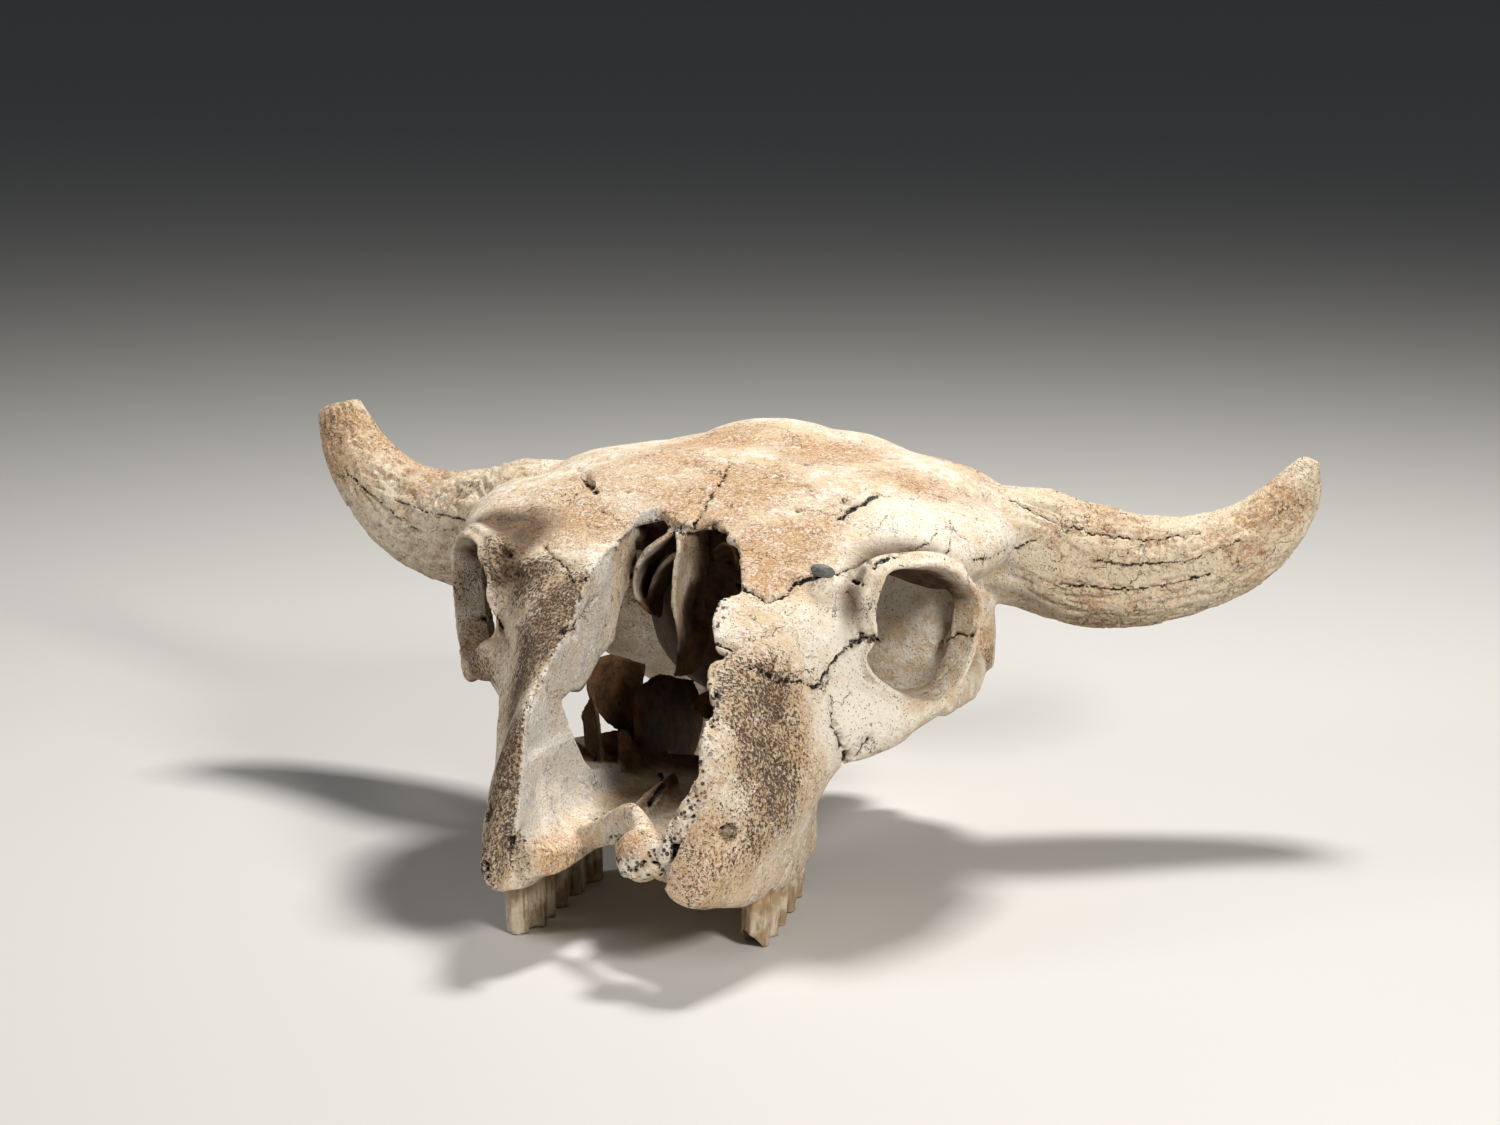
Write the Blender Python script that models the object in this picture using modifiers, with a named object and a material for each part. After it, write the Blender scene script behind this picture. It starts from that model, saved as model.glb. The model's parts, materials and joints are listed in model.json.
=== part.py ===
"""Skull of an American bison (buffalo), without lower jaw, horn sheaths, nasal bones or premaxillae.

The skull stands on its cheek teeth and its -X paroccipital process, as the +X one is broken off
short. +X is the animal's left, -Y its muzzle and +Z up, and the surface that it stands on is z = 0.
Bone is one piece, the cranium, and each cheek tooth is a piece of its own in a socket. Lengths in
this file are millimetres.
"""
import math

import bmesh
import bpy
import numpy as np
from mathutils import Matrix, Vector

MM = 0.001

# Driving dimensions
HORN_SPREAD = 652.0
ORBIT_WIDTH = 330.0
POLL_HEIGHT = 253.0
POLL_Y = 205.0
BOX_MIDDLE = (-3.3, 59.15)
SOCKET_GAP = 0.4

# How finely the bone is shaped, and how many triangles it keeps
VOXEL = 3.0
FINE_VOXEL = 2.4
SOFTENING_STEPS = 4
CRANIUM_TRIANGLES = 6700

# Horn core: a Bezier curve's four points on the +X side, and its radii from root to tip
HORN_ROOT = (112.0, 190.0, 186.0)
HORN_PATH = (
    (165.0, 204.0, 180.0),
    (208.0, 214.0, 158.0),
    (303.0, 260.0, 154.0),
    (HORN_SPREAD / 2, 270.0, 229.0),
)
HORN_RADII = {1: (39.0, 39.0, 32.0, 25.0, 16.5, 6.5), -1: (41.0, 41.0, 34.0, 26.0, 19.5, 14.5)}

# How far the third and the last of the curve's points are raised on each side
HORN_RISE = {1: (-4.0, 4.0), -1: (3.0, 9.0)}

# Orbit: points along the crest of its rim on the +X side, each with the thickness of bone outside it.
# The -X orbit sits a little higher, except for its top, which the brow limits.
ORBIT_EDGE = (
    (118, -9, 181, 5),
    (119, -8, 166, 5),
    (113, -8, 154, 5),
    (117, -5, 143, 6),
    (125, 3, 134, 9),
    (136, 18, 125, 11),
    (146, 29, 123, 10),
    (155, 40, 128, 8),
    (161, 50, 143, 5),
    (164, 55, 160, 5),
    (ORBIT_WIDTH / 2, 55, 176, 5),
    (160, 47, 189, 5),
    (150, 31, 201, 5),
    (139, 13, 205, 5),
    (126, -5, 205, 5),
    (122, -12, 195, 5),
)
ORBIT_AXIS = Vector((0.83, -0.55, 0.05)).normalized()
ORBIT_RISE = {1: 0.0, -1: 8.0}
ORBIT_TOP = 211.0
ORBIT_HEIGHT = 36.0

# How the space of the eye narrows inward: distance along its axis, share of the rim's size, and how
# closely it follows the unevenness of the rim
ORBIT_DEPTHS = ((34, 1.1, 1), (0, 0.98, 1), (-6, 0.96, 1), (-20, 0.91, 1), (-44, 0.76, 0.4), (-66, 0.5, 0))

# Flange below each orbit: rows of x, y, z, half thickness and half height
CHEEK_FLANGE = {
    1: (
        (94, -18, 116, 13, 26),
        (112, -5, 114, 9, 22),
        (122, 6, 113, 8, 17),
        (131, 14, 117, 8, 13),
        (147, 38, 123, 7, 10),
    ),
    -1: (
        (94, -18, 128, 13, 20),
        (114, -4, 136, 10, 16),
        (132, 14, 130, 8, 11),
        (147, 38, 131, 7, 10),
    ),
}

# Face: y, palate z, alveolar edge x and z, middle x and z, widest x and z, shoulder x and z, top z
FACE = (
    (-166, 58, 60, 48, 64, 55, 65, 59, 56, 64, 66),
    (-154, 57, 62, 43, 67, 52, 69, 62, 56, 82, 86),
    (-141, 54, 64, 40, 70, 50, 73, 66, 56, 106, 110),
    (-126, 47, 67, 36, 74, 48, 78, 70, 56, 134, 140),
    (-105, 47, 70, 31, 78, 50, 84, 76, 58, 144, 150),
    (-75, 47, 74, 28, 83, 54, 91, 84, 64, 158, 168),
    (-45, 47, 77, 27, 85, 58, 99, 98, 78, 170, 188),
    (-20, 48, 78, 27, 84, 62, 106, 108, 92, 182, 200),
    (5, 50, 77, 28, 80, 64, 112, 116, 104, 190, 207),
    (28, 52, 73, 30, 76, 68, 106, 122, 104, 190, 205),
    (46, 58, 62, 44, 68, 76, 88, 122, 90, 184, 200),
)

# Nose: y, half width, floor z, and then the height that its bony roof starts at, as y and z
NOSE = (
    (-215, 44, 60),
    (-166, 46, 59),
    (-150, 48, 58),
    (-131, 50, 58),
    (-100, 50, 60),
    (-60, 48, 64),
    (-20, 46, 68),
    (20, 44, 72),
    (60, 42, 76),
)
NOSE_ROOF = ((-112, 134), (-75, 160), (-45, 180), (-20, 192), (5, 202), (30, 212), (60, 218))

# Edge of the opening over the nose, seen from above: from the -X side round the back to the +X side
NOSE_EDGE = (
    (-44, -215),
    (-46, -163),
    (-48, -149),
    (-51, -131),
    (-54, -109),
    (-52, -86),
    (-50, -62),
    (-48, -29),
    (-47, -8),
    (-42, 12),
    (-38, 36),
    (-28, 44),
    (-17, 34),
    (-6, 27),
    (2, 36),
    (10, 35),
    (20, 22),
    (30, 12),
    (36, -4),
    (41, -19),
    (45, -32),
    (40, -37),
    (35, -42),
    (34, -55),
    (38, -64),
    (41, -71),
    (50, -73),
    (44, -78),
    (40, -82),
    (43, -92),
    (50, -108),
    (52, -116),
    (50, -131),
    (46, -150),
    (44, -215),
)

# Broken front edge of the palate, seen from above
PALATE_EDGE = (
    (-56, -215),
    (-56, -140),
    (-42, -142),
    (-31, -112),
    (-28, -70),
    (-20, -62),
    (-12, -88),
    (4, -112),
    (24, -124),
    (38, -134),
    (40, -150),
    (42, -215),
)

# Ragged edge of the -X wall of the nose, as y and z. Behind it the wall is gone and the sinus shows.
WALL_EDGE = (
    (46, 202),
    (50, 184),
    (22, 168),
    (16, 158),
    (11, 148),
    (-9, 142),
    (-25, 133),
    (-36, 129),
    (-52, 132),
    (-66, 130),
    (-56, 118),
    (-53, 108),
    (-37, 88),
    (-26, 81),
    (0, 78),
    (40, 82),
    (62, 100),
    (68, 150),
    (64, 196),
)

# Thin curved plates left in the nose, each as rows of points
NOSE_PLATES = {
    "septum": (
        ((-13, 28, 214), (-10, 38, 217), (-7, 48, 218), (-2, 56, 219)),
        ((-9, 20, 205), (-9, 38, 197), (-7, 50, 195), (-1, 56, 194)),
        ((-10, 16, 192), (-10, 36, 180), (-8, 50, 178), (-3, 58, 179)),
        ((-10, 12, 176), (-10, 32, 168), (-9, 48, 164), (-3, 56, 167)),
        ((-7, 10, 163), (-7, 28, 157), (-5, 42, 153), (1, 50, 156)),
        ((-5, 8, 147), (-4, 22, 144), (-1, 34, 143), (4, 40, 145)),
        ((-7, 4, 131), (-5, 14, 130), (-3, 24, 129), (0, 30, 132)),
    ),
    "left_scroll": (
        ((-13, 34, 214), (-18, 54, 212), (-24, 70, 204)),
        ((-28, 30, 204), (-33, 54, 195), (-37, 72, 186)),
        ((-36, 30, 195), (-40, 54, 185), (-42, 72, 175)),
        ((-39, 28, 184), (-42, 52, 174), (-44, 70, 165)),
        ((-38, 28, 173), (-39, 50, 165), (-41, 68, 159)),
        ((-30, 32, 163), (-32, 52, 156), (-34, 66, 152)),
    ),
    "shell": (
        ((-57, 6, 137), (-54, 18, 139), (-49, 28, 137), (-39, 28, 134), (-30, 20, 135)),
        ((-59, 2, 129), (-57, 18, 128), (-52, 32, 124), (-42, 32, 123), (-32, 24, 124)),
        ((-60, 2, 121), (-58, 20, 117), (-53, 36, 111), (-44, 34, 111), (-37, 28, 111)),
        ((-58, 8, 111), (-57, 24, 103), (-53, 38, 98), (-46, 36, 98), (-41, 32, 99)),
        ((-54, 16, 102), (-54, 28, 94), (-52, 38, 87), (-46, 38, 85), (-42, 34, 85)),
    ),
}
PLATE_THICKNESS = 4.6

# Roof: y, half width, top z at the middle, lowest z
ROOF = (
    (-12, 94, 204, 184),
    (8, 112, 210, 184),
    (30, 130, 219, 188),
    (58, 141, 230, 192),
    (88, 138, 238, 192),
    (122, 134, 243, 188),
    (160, 138, 243, 184),
    (POLL_Y, 147, POLL_HEIGHT - 14, 180),
    (226, 126, 236, 184),
    (242, 92, 228, 192),
)
ROOF_ROUNDNESS = 2.3

# Occiput: z, half width, front y, back y
OCCIPUT = (
    (58, 62, 205, 240),
    (82, 96, 190, 246),
    (104, 130, 176, 248),
    (128, 134, 170, 247),
    (152, 126, 168, 246),
    (180, 116, 162, 245),
    (210, 112, 165, 242),
    (234, 80, 190, 236),
)

# Cheek teeth of each side, from the front: name, y, distance of the middle from x = 0, length, width
TEETH = {
    1: (
        ("premolar_3", -77, 66, 16, 16),
        ("premolar_4", -58, 64.5, 17, 18),
        ("molar_1", -36, 62.5, 22, 20),
        ("molar_2", -9, 60, 25, 21),
        ("molar_3", 20, 57, 26, 20),
    ),
    -1: (
        ("premolar_2", -92.5, 70, 12, 13),
        ("premolar_3", -77, 67, 16, 16),
        ("premolar_4", -58, 69, 17, 18),
        ("molar_1", -36, 70, 22, 21),
        ("molar_2", -9, 70, 25, 22),
        ("molar_3", 20, 68, 26, 21),
    ),
}
TOOTH_TOP = 46.0
TOOTH_SIDES = 16
CHIPPED_RISE = 9.0

# Grey chip wedged in the bone over the left eye
CHIP_PLACE = (86.0, -7.0, 203.0)
CHIP_RADII = (8.0, 5.0, 4.0)
CHIP_TURN = (20, 12, 0)


def clear_scene():
    """Remove every object of the scene that this file was opened with."""
    for old in list(bpy.data.objects):
        bpy.data.objects.remove(old, do_unlink=True)


def bone_material(name, colour, roughness):
    """A plain dielectric surface in one colour."""
    material = bpy.data.materials.new(name)
    material.use_nodes = True
    shader = material.node_tree.nodes["Principled BSDF"]
    shader.inputs["Base Color"].default_value = (*colour, 1.0)
    shader.inputs["Roughness"].default_value = roughness
    shader.inputs["Metallic"].default_value = 0.0
    return material


def place(name, mesh, collection):
    """Put a mesh in the scene as an object of that collection."""
    shape = bpy.data.objects.new(name, mesh)
    collection.objects.link(shape)
    return shape


def mesh_of_rings(name, rings, closed=False):
    """Skin a row of point rings. Ends are capped with a fan unless the row closes on itself."""
    shape = bmesh.new()
    rows = [[shape.verts.new(Vector(p) * MM) for p in ring] for ring in rings]
    pairs = list(zip(rows, rows[1:]))
    if closed:
        pairs.append((rows[-1], rows[0]))
    for low, high in pairs:
        for i, corner in enumerate(low):
            j = (i + 1) % len(low)
            shape.faces.new((corner, low[j], high[j], high[i]))
    if not closed:
        shape.faces.new(rows[0][::-1])
        shape.faces.new(rows[-1])
    bmesh.ops.triangulate(shape, faces=[f for f in shape.faces if len(f.verts) > 4])
    bmesh.ops.recalc_face_normals(shape, faces=shape.faces[:])
    mesh = bpy.data.meshes.new(name)
    shape.to_mesh(mesh)
    shape.free()
    return mesh


def smooth_rows(rows, steps=5, closed=False):
    """Rows of numbers, read from a Catmull-Rom curve through the ones given."""
    points = np.array(rows, float)
    count = len(points)
    spans = count if closed else count - 1
    found = []
    for i in range(spans):
        if closed:
            a, b, c, d = (points[(i + k) % count] for k in (-1, 0, 1, 2))
        else:
            a, b, c, d = (points[min(max(i + k, 0), count - 1)] for k in (-1, 0, 1, 2))
        for step in range(steps):
            t = step / steps
            square = 2 * a - 5 * b + 4 * c - d
            cube = 3 * b - a - 3 * c + d
            found.append(0.5 * (2 * b + (c - a) * t + square * t**2 + cube * t**3))
    if not closed:
        found.append(points[-1])
    return np.array(found)


def strap(name, rows, long_axes, closed=False, steps=5, sides=14):
    """Sweep an oval along a curve. A row is x, y, z, half thickness, half width.

    The oval's long way follows long_axes, one direction for each row or one for all of them.
    """
    axes = [long_axes] * len(rows) if isinstance(long_axes, Vector) else long_axes
    joined = [(*row, *axis) for row, axis in zip(rows, axes)]
    samples = smooth_rows(joined, steps, closed)
    count = len(samples)
    rings = []
    for i, sample in enumerate(samples):
        before = samples[(i - 1) % count] if closed else samples[max(i - 1, 0)]
        after = samples[(i + 1) % count] if closed else samples[min(i + 1, count - 1)]
        tangent = Vector(after[:3] - before[:3]).normalized()
        wide = Vector(sample[5:8])
        wide = (wide - wide.dot(tangent) * tangent).normalized()
        thin = tangent.cross(wide)
        centre = Vector(sample[:3])
        turns = (2 * math.pi * k / sides for k in range(sides))
        rings.append(
            [centre + thin * sample[3] * math.cos(a) + wide * sample[4] * math.sin(a) for a in turns]
        )
    return mesh_of_rings(name, rings, closed)


def sheet(name, rows, thickness, steps=3):
    """A thin curved plate through rows of points, closed all round."""
    fine = np.array([smooth_rows(row, steps) for row in rows])
    middle = smooth_rows(fine.reshape(len(rows), -1), steps).reshape(-1, fine.shape[1], 3)
    out = np.cross(np.gradient(middle, axis=1), np.gradient(middle, axis=0))
    out *= 0.5 * thickness / np.linalg.norm(out, axis=2)[:, :, None]
    return mesh_of_rings(name, [[*(row + o), *(row - o)[::-1]] for row, o in zip(middle, out)])


def superoval(half_width, half_height, power, sides=32):
    """Points of an oval that nears a rectangle as its power grows."""
    found = []
    for k in range(sides):
        turn = 2 * math.pi * k / sides
        across, up = math.cos(turn), math.sin(turn)
        found.append(
            (
                half_width * math.copysign(abs(across) ** (2 / power), across),
                half_height * math.copysign(abs(up) ** (2 / power), up),
            )
        )
    return found


def ball(name, centre, radii, collection, turn=(0, 0, 0)):
    """An ellipsoid from a primitive sphere. turn is its rotation in degrees about X, Y and Z."""
    rounds = 24 if max(radii) > 12 else 14
    bpy.ops.mesh.primitive_uv_sphere_add(segments=rounds, ring_count=rounds // 2 + 1, radius=1.0)
    shape = bpy.context.object
    shape.name = name
    for other in list(shape.users_collection):
        other.objects.unlink(shape)
    collection.objects.link(shape)
    tilt = Matrix.Rotation(math.radians(turn[2]), 4, "Z") @ Matrix.Rotation(math.radians(turn[1]), 4, "Y")
    tilt = tilt @ Matrix.Rotation(math.radians(turn[0]), 4, "X")
    size = Matrix.Diagonal((*(r * MM for r in radii), 1.0))
    shape.data.transform(Matrix.Translation(Vector(centre) * MM) @ tilt @ size)
    return shape


def mirrored(points, side):
    """Points or rows with x on the side asked for."""
    return [(side * p[0], *p[1:]) for p in points]


def horn_core(side, collection):
    """A tapering curve object from inside the frontal bone to the tip, as a mesh."""
    a, b, c, d = (Vector(p) for p in HORN_PATH)
    c.z += HORN_RISE[side][0]
    d.z += HORN_RISE[side][1]
    spans = 22
    points = [Vector(HORN_ROOT)]
    for step in range(spans + 1):
        t = step / spans
        points.append((1 - t) ** 3 * a + 3 * (1 - t) ** 2 * t * b + 3 * (1 - t) * t**2 * c + t**3 * d)
    marks = (0, 0.25, 0.5, 0.75, 0.92, 1.0)
    radii = [HORN_RADII[side][0] * 0.9]
    radii += [float(np.interp(step / spans, marks, HORN_RADII[side])) for step in range(spans + 1)]
    data = bpy.data.curves.new("horn_core", "CURVE")
    data.dimensions = "3D"
    data.bevel_depth = MM
    data.bevel_resolution = 4
    data.use_fill_caps = True
    spline = data.splines.new("POLY")
    spline.points.add(len(points) - 1)
    for point, centre, radius in zip(spline.points, points, radii):
        point.co = (side * centre.x * MM, centre.y * MM, centre.z * MM, 1.0)
        point.radius = radius
    return as_mesh(place("horn_core", data, collection), collection)


def as_mesh(curve, collection):
    """Turn a curve object into a mesh with its caps welded, and remove the curve."""
    graph = bpy.context.evaluated_depsgraph_get()
    mesh = bpy.data.meshes.new_from_object(curve.evaluated_get(graph))
    shape = bmesh.new()
    shape.from_mesh(mesh)
    bmesh.ops.remove_doubles(shape, verts=shape.verts[:], dist=0.01 * MM)
    bmesh.ops.recalc_face_normals(shape, faces=shape.faces[:])
    shape.to_mesh(mesh)
    shape.free()
    solid = place(curve.name, mesh, collection)
    solid.matrix_world = curve.matrix_world
    bpy.data.objects.remove(curve)
    return solid


def face_ring(row):
    """One section of the face, from the middle of the palate round over the top and back."""
    y, palate, gum_x, gum_z, middle_x, middle_z, wide_x, wide_z, shoulder_x, shoulder_z, top = row
    half = [
        (0.0, palate),
        (0.42 * gum_x, palate),
        (0.66 * gum_x, palate - 3),
        (gum_x - 14, gum_z + 1),
        (gum_x, gum_z),
        (middle_x, middle_z),
        (wide_x, wide_z),
        (0.5 * (wide_x + shoulder_x) + 3, 0.5 * (wide_z + shoulder_z)),
        (shoulder_x, shoulder_z),
        (0.5 * shoulder_x, top),
        (0.0, top),
    ]
    ring = half + [(-x, z) for x, z in half[-2:0:-1]]
    return [(x, y, z) for x, z in smooth_rows(ring, 3, closed=True)]


def build_face(collection):
    """The upper jaw and cheeks as a solid, before the nose is hollowed out."""
    rings = [face_ring(row) for row in smooth_rows(FACE, 3)]
    place("face", mesh_of_rings("face", rings), collection)


def build_roof(collection):
    """The broad domed frontal bone and the poll."""
    rings = []
    for y, half_width, top, low in smooth_rows(ROOF, 3):
        middle, half = (top + low) / 2, (top - low) / 2
        rings.append([(x, y, middle + z) for x, z in superoval(half_width, half, ROOF_ROUNDNESS)])
    place("roof", mesh_of_rings("roof", rings), collection)
    ball("poll_bump", (-2, POLL_Y - 4, POLL_HEIGHT - 18), (50, 44, 18), collection)
    ball("poll_base", (6, POLL_Y - 12, POLL_HEIGHT - 28), (96, 66, 21), collection)
    ball("poll_side", (26, POLL_Y + 4, POLL_HEIGHT - 24), (58, 34, 18), collection)
    for side in (1, -1):
        turn = (0, side * 10, side * -14)
        ball("horn_root", (side * 128, 96, 202), (40, 74, 24), collection, turn)


def build_braincase(collection):
    """Braincase, skull base, occiput, condyles and the processes behind."""
    ball("braincase", (0, 158, 148), (66, 86, 62), collection)
    ball("forebrain", (0, 110, 160), (50, 50, 50), collection)
    rings = []
    for z, half_width, front, back in smooth_rows(OCCIPUT, 3):
        middle, half = (front + back) / 2, (back - front) / 2
        rings.append([(x, middle + y, z) for x, y in superoval(half_width, half, 2.6)])
    place("occiput", mesh_of_rings("occiput", rings), collection)
    base = [(0, 252, 88, 15, 27), (0, 200, 84, 14, 26), (0, 140, 90, 12, 19), (0, 80, 98, 10, 15)]
    base += [(0, 40, 106, 8, 10)]
    place("skull_base", strap("skull_base", base, Vector((1, 0, 0))), collection)
    for side in (1, -1):
        ball("condyle", (side * 36, 256, 100), (27, 25, 26), collection, (0, side * 25, 0))
        process = [(74, 226, 86, 14, 22), (69, 228, 60, 10, 16), (68, 229, 47, 6, 10)]
        if side == -1:
            process = [(74, 226, 86, 14, 22), (67, 229, 50, 10, 17), (61, 229, 20, 8, 13)]
            process += [(58, 228, -4, 6, 11)]
        rows = mirrored(process, side)
        place("paroccipital", strap("paroccipital", rows, Vector((0.3 * side, 1, 0))), collection)
        ball("bulla", (side * 44, 192, 74), (13, 24, 17), collection)
    ridge = [(-104, 226, 196, 7, 9), (-66, 238, 216, 7, 9), (0, 244, 226, 8, 10), (66, 238, 216, 7, 9)]
    ridge += [(104, 226, 196, 7, 9)]
    place("nuchal_crest", strap("nuchal_crest", ridge, Vector((0, 0.5, 1))), collection)
    keel = [(0, 246, 222, 6, 8), (0, 250, 196, 7, 9), (0, 246, 160, 5, 6)]
    place("nuchal_keel", strap("nuchal_keel", keel, Vector((0, 1, 0))), collection)


def build_cheek_arch(side, collection):
    """The bar from below the orbit back to the squamosal, and the flange that it springs from."""
    arch = [(147, 38, 122, 7, 12), (148, 75, 118, 6, 11), (146, 115, 114, 6, 11), (139, 152, 114, 8, 13)]
    arch += [(124, 184, 116, 14, 22)]
    place("cheek_arch", strap("cheek_arch", mirrored(arch, side), Vector((0, 0, 1))), collection)
    flange = mirrored(CHEEK_FLANGE[side], side)
    place("cheek_flange", strap("cheek_flange", flange, Vector((0.2 * side, 0, 1))), collection)
    crest = [(138, 166, 110, 10, 20), (139, 170, 134, 9, 17), (132, 178, 158, 11, 18)]
    crest += [(126, 184, 176, 12, 22)]
    place("temporal_crest", strap("temporal_crest", mirrored(crest, side), Vector((0, 1, 0))), collection)


def orbit_points(side):
    """The orbit's inner edge on one side, and its middle and outward axis there."""
    axis = Vector((side * ORBIT_AXIS.x, ORBIT_AXIS.y, ORBIT_AXIS.z))
    edge = []
    for x, y, z, _ in mirrored(ORBIT_EDGE, side):
        share = min(1.0, (ORBIT_TOP - z) / ORBIT_HEIGHT)
        edge.append(Vector((x, y, z + ORBIT_RISE[side] * share)))
    return edge, sum(edge, Vector()) / len(edge), axis


def build_orbit_body(side, collection):
    """The thick bone round the orbit, as a short sleeve that narrows inward."""
    edge, middle, axis = orbit_points(side)
    rows, long_axes = [], []
    for point, (_, _, _, wall) in zip(edge, ORBIT_EDGE):
        outward = (point - middle).normalized()
        centre = point + outward * wall * 0.5 - axis * 15.0
        rows.append((*centre, wall * 0.5 + 1.0, 11.0))
        long_axes.append(-axis - outward * 0.3)
    place("orbit_body", strap("orbit_body", rows, long_axes, closed=True, steps=3), collection)


def build_orbit_crest(side, collection):
    """The sharp edge of the orbit's rim. Its section widens from the crest inward."""
    edge, middle, axis = orbit_points(side)
    points = [(*point, row[3]) for point, row in zip(edge, ORBIT_EDGE)]
    rings = []
    for x, y, z, wall in smooth_rows(points, 4, closed=True):
        flat = Vector((x, y, z)) - middle
        outward = (flat - axis * flat.dot(axis)).normalized()
        section = ((-0.8, 0.0), (1.0, 0.2), (2.4, -1.6), (0.45 * wall, -5), (0.85 * wall, -11))
        section += ((0.6 * wall, -20), (-4.5, -20), (-3.2, -12), (-1.8, -5))
        rings.append([middle + flat + outward * across + axis * along for across, along in section])
    place("orbit_crest", mesh_of_rings("orbit_crest", rings, closed=True), collection)


def build_inner_plates(side, collection):
    """Upright plates below the braincase, either side of the way out of the nose."""
    plate = [(24, 104, 92, 3.5, 16), (26, 80, 86, 3.5, 30), (29, 52, 84, 3.5, 38), (34, 22, 84, 3.5, 34)]
    place("pterygoid", strap("pterygoid", mirrored(plate, side), Vector((0.1 * side, 0.1, 1))), collection)


def build_nose_plates(collection):
    """The septum and the thin plates beside it."""
    for name, rows in NOSE_PLATES.items():
        place(name, sheet(name, rows, PLATE_THICKNESS), collection)


def build_broken_front(collection):
    """What is left of the bone in front of the nose: a low crest, a spongy lump and the strip above it."""
    floor_crest = [(-6, -96, 62, 7, 10), (-6, -60, 66, 5, 9), (-2, -10, 70, 4, 9)]
    place("floor_crest", strap("floor_crest", floor_crest, Vector((0, 0, 1))), collection)
    ridge = [(-30, -97, 60, 4, 7), (-16, -104, 66, 4, 8), (-4, -110, 74, 4, 9), (6, -116, 80, 4, 9)]
    ridge += [(14, -126, 80, 5, 8), (20, -136, 76, 7, 9)]
    place("spongy_ridge", strap("spongy_ridge", ridge, Vector((0, 0, 1))), collection)
    ball("spongy_lump", (21, -143, 67), (15, 15, 15), collection)
    strip = [(50, -130, 108, 4, 9), (47, -138, 96, 5, 9), (41, -144, 82, 6, 9), (35, -148, 68, 6, 9)]
    strip += [(33, -146, 60, 6, 8)]
    place("broken_strip", strap("broken_strip", strip, Vector((0, 1, 0.4))), collection)


def orbit_cavity(side, collection):
    """The space of the eye, from outside the rim in to the middle of the skull."""
    edge, middle, axis = orbit_points(side)
    rings = []
    for along, share, twist in ORBIT_DEPTHS:
        drift = Vector((0, 18, 0)) * max(0.0, -along) / 60
        ring = []
        for point in edge:
            flat = point - middle
            depth = flat.dot(axis)
            ring.append(middle + (flat - axis * depth) * share + axis * (along + twist * depth) + drift)
        rings.append(smooth_rows(ring, 3, closed=True).tolist())
    place("orbit_cavity", mesh_of_rings("orbit_cavity", rings), collection)


def prism(name, outline, low, high, collection):
    """An upright prism over an outline in plan."""
    rings = [[(x, y, z) for x, y in outline] for z in (low, high)]
    place(name, mesh_of_rings(name, rings), collection)


def side_prism(name, outline, near, far, collection):
    """A prism along X over an outline of y and z."""
    rings = [[(x, y, z) for y, z in outline] for x in (near, far)]
    place(name, mesh_of_rings(name, rings), collection)


def nasal_cavity(collection):
    """The hollow of the nose, with rounded lower corners."""
    rings = []
    for y, half_width, floor in smooth_rows(NOSE, 3):
        roof_y, roof_z = zip(*NOSE_ROOF)
        top = float(np.interp(y, roof_y, roof_z)) if y > roof_y[0] else 300.0
        bow = (0.55, 0), (0.85, 4), (0.97, 14), (1.0, 34)
        half = [(half_width * share, floor + rise) for share, rise in bow]
        half += [(half_width, 0.5 * (floor + top)), (half_width, top)]
        rings.append([(x, y, z) for x, z in half] + [(-x, y, z) for x, z in half[::-1]])
    place("nasal_cavity", mesh_of_rings("nasal_cavity", rings), collection)
    prism("nasal_opening", NOSE_EDGE, 112, 300, collection)
    prism("palate_break", PALATE_EDGE, 20, 76, collection)


def sinus_cavities(collection):
    """The hollows beside the nose. The -X one is broken open to it and both are open behind."""
    rows = [(-62, -52, 100, 10, 12), (-66, -34, 108, 20, 26), (-72, -8, 112, 24, 34)]
    rows += [(-74, 24, 108, 24, 27), (-72, 60, 98, 20, 17)]
    place("sinus", strap("sinus", rows, Vector((0, 0, 1))), collection)
    rows = [(72, -14, 110, 12, 20), (76, 10, 114, 20, 30), (76, 34, 116, 22, 32), (74, 62, 116, 22, 30)]
    place("sinus", strap("sinus", rows, Vector((0, 0, 1))), collection)
    side_prism("broken_wall", WALL_EDGE, -36, -70, collection)


def brain_cavity(collection):
    """The foramen magnum and the hollow of the braincase."""
    rows = [(0, 300, 112, 19, 20), (0, 262, 116, 18, 20), (0, 232, 122, 20, 22), (0, 200, 136, 32, 36)]
    rows += [(0, 165, 148, 40, 44), (0, 125, 152, 34, 38), (0, 98, 154, 14, 16)]
    place("brain_cavity", strap("brain_cavity", rows, Vector((1, 0, 0)), sides=20), collection)


def brow_groove(side, collection):
    """The vessel groove that runs back from the foramen over the orbit."""
    rows = [(80, 62, 231, 4, 5), (84, 74, 232, 4, 4.5), (92, 94, 236, 3.5, 4), (103, 112, 237, 3, 3)]
    place("brow_groove", strap("brow_groove", mirrored(rows, side), Vector((1, 0, 0))), collection)
    ball("brow_hole", (side * 81, 68, 228), (5, 5, 8), collection)


def sight_holes(side, collection):
    """Foramina: below the orbit, at the rim, above it, and of the ear."""
    ball("infraorbital", (side * 66, -137, 82), (9, 8, 5.5), collection, (0, 0, side * 30))
    ball("lacrimal", (side * 108, -5, 200), (5, 6, 7), collection)
    ball("ear_hole", (side * 138, 214, 112), (22, 7, 7), collection)


def gather(name, collection, parts):
    """Join the objects of a collection into one object of another, and empty the first."""
    shape = bmesh.new()
    for piece in list(parts.objects):
        shape.from_mesh(piece.data)
        bpy.data.objects.remove(piece)
    mesh = bpy.data.meshes.new(name)
    shape.to_mesh(mesh)
    shape.free()
    return place(name, mesh, collection)


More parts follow.
